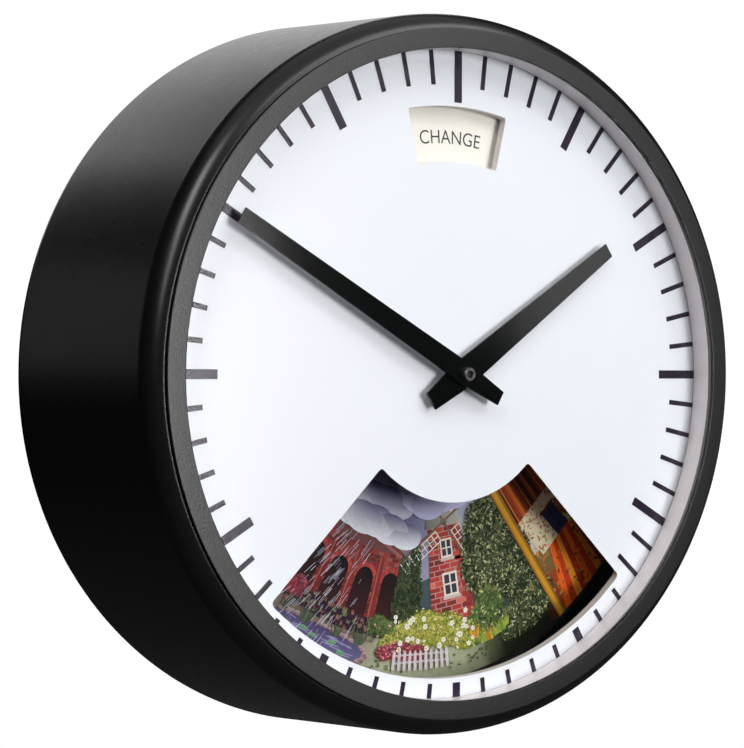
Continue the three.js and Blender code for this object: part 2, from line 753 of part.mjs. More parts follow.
// Ring on the bearing tube that keeps the hub from sliding forwards
const hubRingBack = counterboreFloor - END_FLOAT;
const hubRing = ring(BEARING_R + RUN_GAP, HUB_RING_R, hubRingBack - HUB_RING_THICK, hubRingBack, MID_SIDES);
add('hub_ring', hubRing, 0xb0b3b8, 0.3, 0.95);

// Drive motor behind the chassis plate, its shaft off its middle and in mesh with the disc's gear
const motorBack = moveFront + MOTOR_DEPTH;
let motor = rod(MOTOR_R, moveFront, motorBack, MID_SIDES, motorX, 0);
for (const side of [-1, 1]) {
  const z = side * motorEarZ;
  const ear = rod(MOTOR_EAR_R, moveFront, moveFront + MOTOR_EAR_THICK, SMALL_SIDES, motorX, z);
  const low = Math.min(z, 0);
  const high = Math.max(z, 0);
  const earBack = moveFront + MOTOR_EAR_THICK;
  const strap = block(motorX - MOTOR_EAR_R, motorX + MOTOR_EAR_R, moveFront, earBack, low, high);
  const hole = rod(MOTOR_SCREW_R + SLIP_GAP, moveFront - 1, earBack + 1, SMALL_SIDES, motorX, z);
  motor = motor.add(ear).add(strap).subtract(hole);
}
const socketBack = moveFront + MOTOR_SHAFT_SOCKET;
const socketR = MOTOR_SHAFT_R + SLIP_GAP;
motor = motor.subtract(rod(socketR, moveFront - 1, socketBack, SMALL_SIDES, driveDistance, 0));
add('drive_motor', motor, 0xb7babd, 0.35, 0.9);

[-1, 1].forEach((side, i) => {
  const under = moveFront + MOTOR_EAR_THICK + SEAT_GAP;
  const z = side * motorEarZ;
  const head = MOTOR_SCREW_HEAD;
  const body = screw(under, MOTOR_SCREW_R, MOTOR_SCREW_LENGTH, MOTOR_SCREW_HEAD_R, head, motorX, z);
  add(`motor_screw_${i + 1}`, body, 0xc2c4c8, 0.3, 0.95);
});

// The pinion sits in the middle of the gear's thickness.
const drive = new THREE.Group();
drive.name = 'drive_group';
drive.position.set(driveDistance, 0, 0);
root.add(drive);
const pinionFront = (discGearFront + discGearBack - PINION_THICK) / 2;
const pinionBack = pinionFront + PINION_THICK;
const shaft = rod(MOTOR_SHAFT_R, pinionFront, socketBack - END_FLOAT, SMALL_SIDES);
add('motor_shaft', shaft, 0xc9ccd0, 0.25, 1, drive);
const pinionPhase = 270 + 180 / PINION_TEETH;
const pinionHole = [circle(MOTOR_SHAFT_R + RUN_GAP, SMALL_SIDES)];
const pinionTeeth = gearOutline(PINION_TEETH, DRIVE_MODULE, pinionPhase);
const pinion = plate(pinionTeeth, pinionHole, pinionFront, pinionBack);
add('drive_pinion', pinion, 0xe9e4d4, 0.5, 0, drive);

// Movement shells: the front one is a tray with a stem and an open bay for its cell.
const bayHeight = 2 * (CELL_R + CELL_SIDE_ROOM);
const bayTop = -MOVE_BOTTOM + MOVE_WALL + bayHeight;
const innerHalf = MOVE_HALF_WIDTH - MOVE_WALL;
const innerFront = moveFront + MOVE_WALL;
const wheelRoomBottom = bayTop + MOVE_WALL;
const tray = block(-MOVE_HALF_WIDTH, MOVE_HALF_WIDTH, moveFront, moveBack, -MOVE_BOTTOM, MOVE_TOP);
const wheelRoomTop = MOVE_TOP - MOVE_WALL;
const wheelRoom = block(-innerHalf, innerHalf, innerFront, moveBack + 1, wheelRoomBottom, wheelRoomTop);
const bay = block(-innerHalf, innerHalf, innerFront, moveBack + 1, -MOVE_BOTTOM + MOVE_WALL, bayTop);
const stemFront = moveFront - STEM_LENGTH;
const stem = rod(STEM_R, stemFront, moveFront + MOVE_WALL / 2, SMALL_SIDES);
const stemBore = rod(STEM_BORE_R, stemFront - 1, innerFront + 1, SMALL_SIDES);
const frontShell = tray.subtract(wheelRoom).subtract(bay).add(stem).subtract(stemBore);
add('movement_front', frontShell, 0x26282b, 0.55, 0);

const middleZ = (-(CENTRE_TEETH + MIDDLE_WHEEL_TEETH) * CLOCK_MODULE) / 2;
const lidHole = circle(MIDDLE_ARBOR_R + SLIP_GAP, SMALL_SIDES, 0, middleZ);
const lidOutline = rectangle(-MOVE_HALF_WIDTH, MOVE_HALF_WIDTH, bayTop, MOVE_TOP);
add('movement_back', plate(lidOutline, [lidHole], lidFront, lidBack), 0x2f3134, 0.5, 0);

// Motion work: hour wheel in front, then the centre pinion and the wheel that it turns
const hourWheelFront = innerFront + END_FLOAT;
const hourWheelBack = hourWheelFront + WHEEL_THICK;
const middleWheelFront = hourWheelBack + WHEEL_GAP;
const middleWheelBack = middleWheelFront + WHEEL_THICK;
const centrePinionFront = hourWheelBack + WHEEL_GAP / 2;
const centrePinionBack = middleWheelBack + WHEEL_GAP / 2;
const centreDiscFront = centrePinionBack + CENTRE_DISC_GAP;
const centreDiscBack = centreDiscFront + WHEEL_THICK;
const hourHandBack = dialFront - HOUR_STANDOFF;
const hourHandFront = hourHandBack - HAND_THICK;
const minuteHandBack = dialFront - MINUTE_STANDOFF;
const minuteHandFront = minuteHandBack - HAND_THICK;
const tubeBoreR = ARBOR_R + SLIP_GAP;

const hourTubeFront = hourHandFront - TUBE_PROUD;
const hourTeeth = gearOutline(HOUR_TEETH, CLOCK_MODULE, 180);
const hourDisc = plate(hourTeeth, [circle(tubeBoreR, SMALL_SIDES)], hourWheelFront, hourWheelBack);
const hourTube = ring(tubeBoreR, HOUR_TUBE_R, hourTubeFront, hourWheelBack, SMALL_SIDES);
add('hour_wheel', hourDisc.add(hourTube), 0xd9d3c2, 0.5, 0);

const nutBack = minuteHandFront - SEAT_GAP;
const nutFront = nutBack - HAND_NUT_LENGTH;
const arborProfile = [
  [0, nutFront + ARBOR_TIP_SINK],
  [ARBOR_TIP_R, nutFront + ARBOR_TIP_SINK],
  [ARBOR_TIP_R, minuteHandBack + SEAT_GAP],
  [ARBOR_R, minuteHandBack + SEAT_GAP],
  [ARBOR_R, centrePinionFront],
  [ARBOR_R, centreDiscFront],
  [CENTRE_DISC_R, centreDiscFront],
  [CENTRE_DISC_R, centreDiscBack],
  [ARBOR_R, centreDiscBack],
  [ARBOR_R, moveBack - END_FLOAT - CENTRE_DISC_GAP],
  [0, moveBack - END_FLOAT - CENTRE_DISC_GAP],
];
const centreTeeth = gearOutline(CENTRE_TEETH, CLOCK_MODULE, 180);
const centrePinion = plate(centreTeeth, [], centrePinionFront, centrePinionBack);
add('centre_wheel', turned(arborProfile, SMALL_SIDES).add(centrePinion), 0xc9b277, 0.35, 0.9);

// The intermediate wheel and the set knob turn about an axis below the centre.
const middle = new THREE.Group();
middle.name = 'intermediate_group';
middle.position.set(0, 0, middleZ);
root.add(middle);
const knobFront = lidBack + END_FLOAT;
const knobBack = knobFront + KNOB_THICK;
const middleArborBack = knobBack - KNOB_THICK / 3;
const middlePinionTeeth = gearOutline(MIDDLE_PINION_TEETH, CLOCK_MODULE, 180 / MIDDLE_PINION_TEETH);
const middleWheelTeeth = gearOutline(MIDDLE_WHEEL_TEETH, CLOCK_MODULE, 180 / MIDDLE_WHEEL_TEETH);
const middleBody = plate(middlePinionTeeth, [], hourWheelFront, middleWheelFront + WHEEL_THICK / 2)
  .add(plate(middleWheelTeeth, [], middleWheelFront, middleWheelBack))
  .add(rod(MIDDLE_ARBOR_R, middleWheelFront, middleArborBack, SMALL_SIDES));
add('intermediate_wheel', middleBody, 0xd9d3c2, 0.5, 0, middle);

const knobOutline = [];
for (let i = 0; i < KNOB_FLUTES; i += 1) {
  knobOutline.push(at(KNOB_R, (i * 360) / KNOB_FLUTES));
  knobOutline.push(at(KNOB_R, ((i + 0.5) * 360) / KNOB_FLUTES));
  knobOutline.push(at(KNOB_R * 0.9, ((i + 0.75) * 360) / KNOB_FLUTES));
}
const knobBore = rod(MIDDLE_ARBOR_R + SEAT_GAP, knobFront - 1, middleArborBack + SEAT_GAP, SMALL_SIDES);
add('set_knob', plate(knobOutline, [], knobFront, knobBack).subtract(knobBore), 0x1c1d1f, 0.6, 0, middle);

// A piece turned about an axis along X at height z and depth y. Each profile point is [radius, x].
function crossTurned(profile, sides, y, z) {
  return turned(profile, sides).rotate([0, 0, -90]).translate([0, y, z]);
}

// Coil of the movement's own small motor
const coilHalf = COIL_LENGTH / 2;
const coilY = innerFront + SLIP_GAP + COIL_R;
const coilProfile = [
  [0, -coilHalf],
  [COIL_R, -coilHalf],
  [COIL_R, -coilHalf + COIL_FLANGE],
  [COIL_CORE_R, -coilHalf + COIL_FLANGE],
  [COIL_CORE_R, coilHalf - COIL_FLANGE],
  [COIL_R, coilHalf - COIL_FLANGE],
  [COIL_R, coilHalf],
  [0, coilHalf],
];
add('coil', crossTurned(coilProfile, SMALL_SIDES, coilY, COIL_LIFT), 0xa8623a, 0.4, 0.7);

// A cell lies along X, its nub to one side.
function cell(y, z) {
  const end = -(CELL_LENGTH + CELL_NUB) / 2;
  const face = end + CELL_LENGTH;
  const profile = [
    [0, end],
    [CELL_R, end],
    [CELL_R, face],
    [CELL_NUB_R, face],
    [CELL_NUB_R, face + CELL_NUB],
    [0, face + CELL_NUB],
  ];
  return crossTurned(profile, SMALL_SIDES, y, z);
}
const moveCellZ = bayTop - CELL_R - CELL_SIDE_ROOM;
add('movement_cell', cell(innerFront + CELL_SIDE_ROOM + CELL_R, moveCellZ), 0x3c6e8f, 0.35, 0.6);

// Hand outline: widest at the arbor, with square ends
function handOutline(reach, tail, width, tipWidth, tailWidth) {
  return [
    new THREE.Vector2(-tipWidth / 2, reach),
    new THREE.Vector2(tipWidth / 2, reach),
    new THREE.Vector2(width / 2, 0),
    new THREE.Vector2(tailWidth / 2, -tail),
    new THREE.Vector2(-tailWidth / 2, -tail),
    new THREE.Vector2(-width / 2, 0),
  ];
}
const hourHole = circle(HOUR_TUBE_R + SLIP_GAP, SMALL_SIDES);
const hourOutline = handOutline(HOUR_REACH, HOUR_TAIL, HOUR_WIDTH, HOUR_TIP_WIDTH, HOUR_TAIL_WIDTH);
const hourHand = plate(hourOutline, [hourHole], hourHandFront, hourHandBack).rotate([0, HOUR_ANGLE, 0]);
add('hour_hand', hourHand, 0x0d0c0d, 0.6, 0.1);

const minuteHole = circle(ARBOR_TIP_R + SEAT_GAP, SMALL_SIDES);
const minuteWidths = [MINUTE_WIDTH, MINUTE_TIP_WIDTH, MINUTE_TAIL_WIDTH];
const minuteReach = revealInnerR - MINUTE_TIP_GAP;
const minuteOutline = handOutline(minuteReach, MINUTE_TAIL, ...minuteWidths);
const minuteHand = plate(minuteOutline, [minuteHole], minuteHandFront, minuteHandBack);
add('minute_hand', minuteHand.rotate([0, MINUTE_ANGLE, 0]), 0x0d0c0d, 0.6, 0.1);
add('hand_nut', ring(HAND_NUT_BORE_R, HAND_NUT_R, nutFront, nutBack, SMALL_SIDES), 0x8d8f92, 0.35, 0.9);

// Battery box: an open tray with ribs between its cells
const boxInnerHalf = (CELL_LENGTH + CELL_NUB + CELL_END_ROOM) / 2;
const boxOuterHalf = boxInnerHalf + BOX_WALL;
const boxTop = -BOX_DROP;
const boxInnerHeight = CELL_COUNT * CELL_PITCH;
const boxBottom = boxTop - boxInnerHeight - 2 * BOX_WALL;
const boxBack = moveFront + BOX_DEPTH;
const boxFloor = moveFront + BOX_WALL;
let box = block(-boxOuterHalf, boxOuterHalf, moveFront, boxBack, boxBottom, boxTop).subtract(
  block(-boxInnerHalf, boxInnerHalf, boxFloor, boxBack + 1, boxBottom + BOX_WALL, boxTop - BOX_WALL),
);
for (let i = 1; i < CELL_COUNT; i += 1) {
  const z = boxTop - BOX_WALL - i * CELL_PITCH;
  const back = boxFloor + BOX_RIB_HEIGHT;
  const half = boxInnerHalf + BOX_WALL / 2;
  box = box.add(block(-half, half, boxFloor - BOX_WALL / 2, back, z - BOX_RIB / 2, z + BOX_RIB / 2));
}
add('battery_box', box, 0x1f2123, 0.55, 0);
for (let i = 0; i < CELL_COUNT; i += 1) {
  const z = boxTop - BOX_WALL - (i + 0.5) * CELL_PITCH;
  const body = cell(boxFloor + SLIP_GAP + CELL_R, z);
  add(`battery_cell_${i + 1}`, i % 2 ? body.mirror([1, 0, 0]) : body, 0x3c6e8f, 0.35, 0.6);
}

// Circuit board on the chassis pegs, and what is soldered on its back
const boardOutline = rectangle(
  BOARD_X - BOARD_WIDTH / 2,
  BOARD_X + BOARD_WIDTH / 2,
  BOARD_Z - BOARD_HEIGHT / 2,
  BOARD_Z + BOARD_HEIGHT / 2,
);
const pegHoles = pegs.map(([x, z]) => circle(PEG_R + SLIP_GAP, SMALL_SIDES, x, z));
add('circuit_board', plate(boardOutline, pegHoles, boardFront, boardBack), 0x1f5a36, 0.5, 0.1);
const partsFront = boardBack + SEAT_GAP;
function onBoard(size, height, x, z) {
  return block(x - size / 2, x + size / 2, partsFront, partsFront + height, z - size / 2, z + size / 2);
}
add('processor', onBoard(CHIP_SIZE, CHIP_THICK, CHIP_X, CHIP_Z), 0x141416, 0.5, 0);
const sensorHole = rod(
  SENSOR_HOLE_R,
  partsFront + SENSOR_THICK / 2,
  partsFront + SENSOR_THICK + 1,
  SMALL_SIDES / 2,
  SENSOR_X,
  SENSOR_Z,
);
const sensor = onBoard(SENSOR_SIZE, SENSOR_THICK, SENSOR_X, SENSOR_Z).subtract(sensorHole);
add('pressure_sensor', sensor, 0xc5c8cc, 0.3, 0.9);
const switchBack = partsFront + SWITCH_HEIGHT;
add('tact_switch', onBoard(SWITCH_SIZE, SWITCH_HEIGHT, buttonX, BUTTON_Z), 0x1a1a1c, 0.5, 0.2);

// Cables end in plugs that sit on the board's lower edge.
function cable(points, plugX) {
  const curve = new THREE.CatmullRomCurve3(points);
  const section = new THREE.Shape(circle(CABLE_R, CABLE_SIDES));
  const options = { steps: 10, extrudePath: curve, bevelEnabled: false };
  const plugBack = partsFront + PLUG_HEIGHT;
  const half = PLUG_SIZE / 2;
  const plug = block(plugX - half, plugX + half, partsFront, plugBack, PLUG_Z - half, PLUG_Z + half);
  return solid(new THREE.ExtrudeGeometry(section, options)).add(plug);
}
const plugY = partsFront + PLUG_HEIGHT / 2;
const plugEntry = PLUG_Z - PLUG_SIZE / 2 + 1;
const motorExit = motorBack - 5;
const motorCable = cable(
  [
    new THREE.Vector3(motorX, motorExit, MOTOR_R + CABLE_R / 2),
    new THREE.Vector3(motorX - 2, motorExit, MOTOR_R + 9),
    new THREE.Vector3(motorX - 16, motorExit + 1, MOTOR_R + 18),
    new THREE.Vector3(MOTOR_PLUG_X + 3, plugY + 2, MOTOR_R + 24),
    new THREE.Vector3(MOTOR_PLUG_X, plugY, plugEntry),
  ],
  MOTOR_PLUG_X,
);
const motorRoom = rod(MOTOR_R + SLIP_GAP, moveFront, motorBack + 1, MID_SIDES, motorX, 0);
add('motor_cable', motorCable.subtract(motorRoom), 0xb8b3aa, 0.6, 0);
const cableX = -boxOuterHalf - SLIP_GAP;
const cableY = boxBack - 6;
const batteryCable = cable(
  [
    new THREE.Vector3(cableX, cableY, boxTop - 8),
    new THREE.Vector3(cableX - 5, cableY, boxTop - 4),
    new THREE.Vector3(cableX - 8, cableY + 1, boxTop + 12),
    new THREE.Vector3(cableX - 9, cableY + 1, 0),
    new THREE.Vector3(BATTERY_PLUG_X - 2, plugY + 2, PLUG_Z - 16),
    new THREE.Vector3(BATTERY_PLUG_X, plugY, plugEntry),
  ],
  BATTERY_PLUG_X,
);
const boxSide = block(cableX, boxOuterHalf, moveFront, boxBack + 4, boxBottom, boxTop + 4);
add('battery_cable', batteryCable.subtract(boxSide), 0x8c1f1c, 0.5, 0);

// Back cover: hangs on its keyhole, with a hinged door, vents and a hole for the set button
const coverR = recessR - SLIP_GAP;
const hingeZ = -DOOR_TOP;
const hingeY = -COVER_THICK / 2;
const hingeRound = COVER_THICK / 2;
const doorBottom = hingeZ - DOOR_HEIGHT;
const openingHalf = DOOR_HALF_WIDTH + DOOR_GAP;
const openingTop = hingeZ + hingeRound + DOOR_GAP;
const openingBottom = doorBottom - DOOR_GAP;
function keyhole(roundR, slotHalf) {
  const start = (Math.asin(slotHalf / roundR) * 180) / Math.PI;
  const lower = arc(roundR, start, 360 - start, 12);
  const upper = arc(slotHalf, -90, 90, 5).map((p) => p.add(new THREE.Vector2(0, KEYHOLE_RISE)));
  return [...lower, ...upper].map((p) => p.add(new THREE.Vector2(0, keyholeZ)));
}
const vents = [];
for (let i = 0; i < VENT_COUNT; i += 1) {
  const z = VENT_Z - i * VENT_PITCH;
  const half = VENT_LENGTH / 2;
  vents.push(rectangle(VENT_X - half, VENT_X + half, z - VENT_WIDTH / 2, z + VENT_WIDTH / 2));
}
const coverHoles = [
  rectangle(-openingHalf, openingHalf, openingBottom, openingTop),
  keyhole(KEYHOLE_R, KEYHOLE_SLOT),
  circle(BUTTON_R + SLIP_GAP, SMALL_SIDES, buttonX, BUTTON_Z),
  ...vents,
];
let cover = plate(circle(coverR, RING_SIDES), coverHoles, coverInner, 0);
const headRoom = CASE_SCREW_HEAD + HEAD_SINK;
for (const angle of COVER_SCREW_ANGLES) {
  const place = at(coverScrewR, angle);
  const sink = rod(CASE_SCREW_HEAD_R + SLIP_GAP, -headRoom - SEAT_GAP, 1, SMALL_SIDES, place.x, place.y);
  const hole = rod(CASE_SCREW_R + SLIP_GAP, coverInner - 1, 1, SMALL_SIDES, place.x, place.y);
  cover = cover.subtract(sink).subtract(hole);
}
const guideFront = coverInner - BUTTON_GUIDE_LENGTH;
const guide = ring(
  BUTTON_R + SLIP_GAP,
  BUTTON_GUIDE_R,
  guideFront,
  coverInner + 1,
  SMALL_SIDES,
  buttonX,
  BUTTON_Z,
);
const pinLine = [
  [0, -openingHalf - HINGE_PIN_BITE],
  [HINGE_PIN_R + SEAT_GAP, -openingHalf - HINGE_PIN_BITE],
  [HINGE_PIN_R + SEAT_GAP, openingHalf + HINGE_PIN_BITE],
  [0, openingHalf + HINGE_PIN_BITE],
];
const pinBore = crossTurned(pinLine, SMALL_SIDES / 2, hingeY, hingeZ);
cover = cover.add(guide).subtract(pinBore);
add('back_cover', cover, 0x1a1a1b, 0.55, 0.1);

COVER_SCREW_ANGLES.forEach((angle, i) => {
  const place = at(coverScrewR, angle);
  const length = CASE_SCREW_LENGTH;
  const body = screw(-headRoom, CASE_SCREW_R, length, CASE_SCREW_HEAD_R, CASE_SCREW_HEAD, place.x, place.y);
  add(`cover_screw_${i + 1}`, body, 0x2a2b2d, 0.35, 0.9);
});

const hangerBack = coverInner - SEAT_GAP;
const hangerOutline = rectangle(
  -HANGER_HALF_WIDTH,
  HANGER_HALF_WIDTH,
  keyholeZ - KEYHOLE_R - HANGER_MARGIN,
  keyholeZ + KEYHOLE_RISE + HANGER_MARGIN,
);
const hangerHole = keyhole(KEYHOLE_R - HANGER_INSET, KEYHOLE_SLOT - HANGER_INSET);
const hanger = plate(hangerOutline, [hangerHole], hangerBack - HANGER_THICK, hangerBack);
add('hanger_plate', hanger, 0x9a9da1, 0.4, 0.9);

// Set button: a long plunger guided by the cover, which presses the switch on the board
const buttonFront = switchBack + BUTTON_FREE_PLAY;
const flangeBack = guideFront - SLIP_GAP;
const buttonProfile = [
  [0, buttonFront],
  [BUTTON_R, buttonFront],
  [BUTTON_R, flangeBack - BUTTON_FLANGE_THICK],
  [BUTTON_FLANGE_R, flangeBack - BUTTON_FLANGE_THICK],
  [BUTTON_FLANGE_R, flangeBack],
  [BUTTON_R, flangeBack],
  [BUTTON_R, -BUTTON_SINK],
  [0, -BUTTON_SINK],
];
add('set_button', turned(buttonProfile, SMALL_SIDES, buttonX, BUTTON_Z), 0x6d7073, 0.5, 0);

// Access door: its top edge is a half round about the hinge pin.
const doorEdge = [];
for (let i = 0; i <= 8; i += 1) {
  const t = (Math.PI * i) / 8;
  doorEdge.push(new THREE.Vector2(hingeY - hingeRound * Math.cos(t), hingeZ + hingeRound * Math.sin(t)));
}
doorEdge.push(new THREE.Vector2(hingeY + hingeRound, doorBottom));
doorEdge.push(new THREE.Vector2(hingeY - hingeRound, doorBottom));
const doorSide = new THREE.ExtrudeGeometry(new THREE.Shape(doorEdge), {
  depth: 2 * DOOR_HALF_WIDTH,
  bevelEnabled: false,
});
// Turns the side view so that its own axes become Y and Z, and its depth runs along X
const turn = new THREE.Matrix4().makeBasis(
  new THREE.Vector3(0, 1, 0),
  new THREE.Vector3(0, 0, 1),
  new THREE.Vector3(1, 0, 0),
);
doorSide.applyMatrix4(turn);
doorSide.translate(-DOOR_HALF_WIDTH, 0, 0);

// Latch: a slider behind the door, a stem through its slot and a thumb plate in its recess
const latchBottom = doorBottom + LATCH_INSET;
const latchTop = latchBottom + LATCH_LENGTH;
const latchBack = coverInner - SLIP_GAP;
const latchFront = latchBack - LATCH_THICK;
const stemTop = latchTop - (LATCH_LENGTH - LATCH_STEM_LENGTH) / 2;
const stemBottom = stemTop - LATCH_STEM_LENGTH;
const thumbMiddle = (stemTop + stemBottom) / 2;
const thumbTop = thumbMiddle + THUMB_LENGTH / 2;
const thumbBottom = thumbMiddle - THUMB_LENGTH / 2;
const thumbFloor = coverInner + THUMB_WALL;
const thumbBack = thumbFloor + SLIP_GAP + THUMB_THICK;
const recess = block(
  -THUMB_HALF_WIDTH - SLIP_GAP,
  THUMB_HALF_WIDTH + SLIP_GAP,
  thumbFloor,
  1,
  thumbBottom - LATCH_TRAVEL - SLIP_GAP,
  thumbTop + SLIP_GAP,
);
const slot = block(
  -LATCH_STEM_HALF - SLIP_GAP,
  LATCH_STEM_HALF + SLIP_GAP,
  coverInner - 1,
  1,
  stemBottom - LATCH_TRAVEL - SLIP_GAP,
  stemTop + SLIP_GAP,
);
const door = solid(doorSide).subtract(pinBore).subtract(recess).subtract(slot);
add('access_door', door, 0x1a1a1b, 0.55, 0.1);

const slider = block(-LATCH_HALF_WIDTH, LATCH_HALF_WIDTH, latchFront, latchBack, latchBottom, latchTop);
const stemFoot = latchBack - LATCH_THICK / 2;
const latchStem = block(-LATCH_STEM_HALF, LATCH_STEM_HALF, stemFoot, thumbBack, stemBottom, stemTop);
const thumbFront = thumbFloor + SLIP_GAP;
const thumb = block(-THUMB_HALF_WIDTH, THUMB_HALF_WIDTH, thumbFront, thumbBack, thumbBottom, thumbTop);
add('door_latch', slider.add(latchStem).add(thumb), 0x35373a, 0.5, 0);

const pinHalf = openingHalf + HINGE_PIN_BITE - SLIP_GAP;
const pinProfile = [
  [0, -pinHalf],
  [HINGE_PIN_R, -pinHalf],
  [HINGE_PIN_R, pinHalf],
  [0, pinHalf],
];
add('hinge_pin', crossTurned(pinProfile, SMALL_SIDES / 2, hingeY, hingeZ), 0xb9bcc0, 0.3, 0.95);

export default root;
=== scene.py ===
# %% [markdown]
# # A weather clock in a deep round drum
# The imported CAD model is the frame: every piece made here sits where the solids are, in metres.
# +Z is up, the dial faces -Y, and +X is to the right of someone who reads the clock.

# %% Load the frame
import math
import random

import bmesh
import bpy
import numpy as np
from mathutils import Matrix, Vector


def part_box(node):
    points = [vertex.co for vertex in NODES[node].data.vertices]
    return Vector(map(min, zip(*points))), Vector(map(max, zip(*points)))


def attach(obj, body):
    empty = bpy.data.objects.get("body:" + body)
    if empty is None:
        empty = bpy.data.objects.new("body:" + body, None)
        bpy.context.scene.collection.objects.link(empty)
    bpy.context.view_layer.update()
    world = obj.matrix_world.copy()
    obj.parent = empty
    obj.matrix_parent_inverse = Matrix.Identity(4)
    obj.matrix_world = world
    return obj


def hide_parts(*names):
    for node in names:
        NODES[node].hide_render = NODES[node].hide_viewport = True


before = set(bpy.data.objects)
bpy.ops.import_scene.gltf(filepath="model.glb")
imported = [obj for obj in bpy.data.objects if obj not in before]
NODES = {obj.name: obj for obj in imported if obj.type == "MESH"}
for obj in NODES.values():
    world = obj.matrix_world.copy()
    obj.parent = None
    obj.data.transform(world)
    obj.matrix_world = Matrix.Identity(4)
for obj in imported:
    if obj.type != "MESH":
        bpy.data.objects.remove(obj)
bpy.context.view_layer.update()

MM = 0.001

# %% [markdown]
# ## Planes and radii
# The clock is a stack of round layers, so almost every size is a plane across the Y axis or a
# radius about it. They are read from the CAD nodes, so the looks follow the solids.

# %% Measure the stack
def plane(node, back=False):
    """The node's front plane in mm, or its back plane."""
    low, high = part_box(node)
    return (high.y if back else low.y) / MM


def radius(node):
    low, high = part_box(node)
    return (high.x - low.x) / 2 / MM


def box_of(node):
    """The low and the high corner of the node's box, in mm."""
    return [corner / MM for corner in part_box(node)]


def middle_of(node):
    """The node's middle in X and Z, in mm."""
    low, high = box_of(node)
    return (low.x + high.x) / 2, (low.z + high.z) / 2


def numbered(name, count):
    return [f"{name}_{i + 1}" for i in range(count)]


DIAL_FRONT, DIAL_BACK = plane("dial"), plane("dial", True)
REVEAL_FRONT, REVEAL_BACK = plane("reveal_ring"), plane("reveal_ring", True)
BEZEL_FRONT, BEZEL_BACK = plane("bezel"), plane("bezel", True)
WORD_FRONT = plane("word_plate")
DISC_FRONT = plane("weather_disc")
print("dial", DIAL_FRONT, "bezel", BEZEL_FRONT, "disc", DISC_FRONT, "words", WORD_FRONT)

# %% [markdown]
# ## Small helpers
# An operator acts on all that is selected, so each piece starts with nothing selected. A clock
# angle runs clockwise from twelve, as the hands do.

# %% Helpers for picking and placing
def clear_pick():
    """Leaves edit mode and deselects everything."""
    if bpy.context.object and bpy.context.object.mode != "OBJECT":
        bpy.ops.object.mode_set(mode="OBJECT")
    bpy.ops.object.select_all(action="DESELECT")


def alone(obj):
    """Selects one object and makes it the active one."""
    clear_pick()
    obj.hide_set(False)
    obj.select_set(True)
    bpy.context.view_layer.objects.active = obj


def edit_all(obj):
    """Opens one object in edit mode with all of it selected."""
    alone(obj)
    bpy.ops.object.mode_set(mode="EDIT")
    bpy.ops.mesh.select_all(action="SELECT")


def clock_point(r, angle, y):
    """A point in metres at radius r (mm) and a clock angle (degrees), on the plane y (mm)."""
    t = math.radians(angle)
    return Vector((r * math.sin(t) * MM, y * MM, r * math.cos(t) * MM))


def place_here(obj):
    """Moves the object's place into its mesh, as the CAD nodes have it."""
    alone(obj)
    bpy.ops.object.transform_apply(location=True, rotation=True, scale=True)


def rotated(piece, angle, axis="Y"):
    """Turns a piece's mesh. About Y, the angle is a clock angle."""
    piece.data.transform(Matrix.Rotation(math.radians(angle), 4, axis))
    return piece


def moved(piece, x, y, z):
    piece.data.transform(Matrix.Translation((x * MM, y * MM, z * MM)))
    return piece


# %% Helpers for faces and edges
def outwards(obj):
    """Closes the seams of a new piece and turns its faces outwards."""
    edit_all(obj)
    bpy.ops.mesh.remove_doubles(threshold=0.00001)
    bpy.ops.mesh.normals_make_consistent(inside=False)
    bpy.ops.object.mode_set(mode="OBJECT")


def thicken(sheet, depth):
    """Extrudes a flat piece towards the back, by a depth in metres."""
    edit_all(sheet)
    bpy.ops.mesh.extrude_region_move(TRANSFORM_OT_translate={"value": (0, depth, 0)})
    outwards(sheet)


def bevel_edges(piece, offset, segments, wanted):
    """Bevels the edges that pass a test, which is given the edge's two ends."""
    alone(piece)
    bpy.ops.object.mode_set(mode="EDIT")
    mesh = bmesh.from_edit_mesh(piece.data)
    for edge in mesh.edges:
        edge.select_set(wanted(edge.verts[0].co, edge.verts[1].co))
    bmesh.update_edit_mesh(piece.data)
    bpy.ops.mesh.bevel(offset=offset * MM, segments=segments, affect="EDGES")
    bpy.ops.object.mode_set(mode="OBJECT")


def apply_modifier(obj, kind, **settings):
    alone(obj)
    modifier = obj.modifiers.new(kind.title(), kind)
    for key, value in settings.items():
        setattr(modifier, key, value)
    bpy.ops.object.modifier_apply(modifier=modifier.name)


def smooth(obj, degrees=35):
    """Smooths rounds, and keeps flat faces flat beside them with weighted normals."""
    alone(obj)
    bpy.ops.object.shade_smooth_by_angle(angle=math.radians(degrees))
    apply_modifier(obj, "WEIGHTED_NORMAL", keep_sharp=True, weight=100)


def break_edges(piece, width, segments=2, sharper_than=50, **settings):
    """Rounds a piece's sharp edges by a width in mm."""
    apply_modifier(piece, "BEVEL", width=width * MM, segments=segments, limit_method="ANGLE",
                   angle_limit=math.radians(sharper_than), **settings)


def soften(piece, width):
    break_edges(piece, width, use_clamp_overlap=False)
    smooth(piece)


# %% [markdown]
# ## Blocks, rods and cuts
# Flat plates are sawn, drilled and routed. A rod or a bar is a primitive at its size and place,
# and a Boolean takes it out of the piece, which leaves a clean hole or pocket. Insets and
# extrusions could do that too, but only where the plate already has edges to work from.

# %% Rods, bars and cuts
THROUGH, DRILL_LONG = (-9, 9), 20


def rod(r, front, back, x=0, z=0, sides=48):
    """A cylinder from front to back, with all its sizes in mm."""
    clear_pick()
    bpy.ops.mesh.primitive_cylinder_add(
        vertices=sides, radius=r * MM, depth=(back - front) * MM, rotation=(math.pi / 2, 0, 0),
        location=(x * MM, (front + back) / 2 * MM, z * MM))
    place_here(bpy.context.object)
    return bpy.context.object


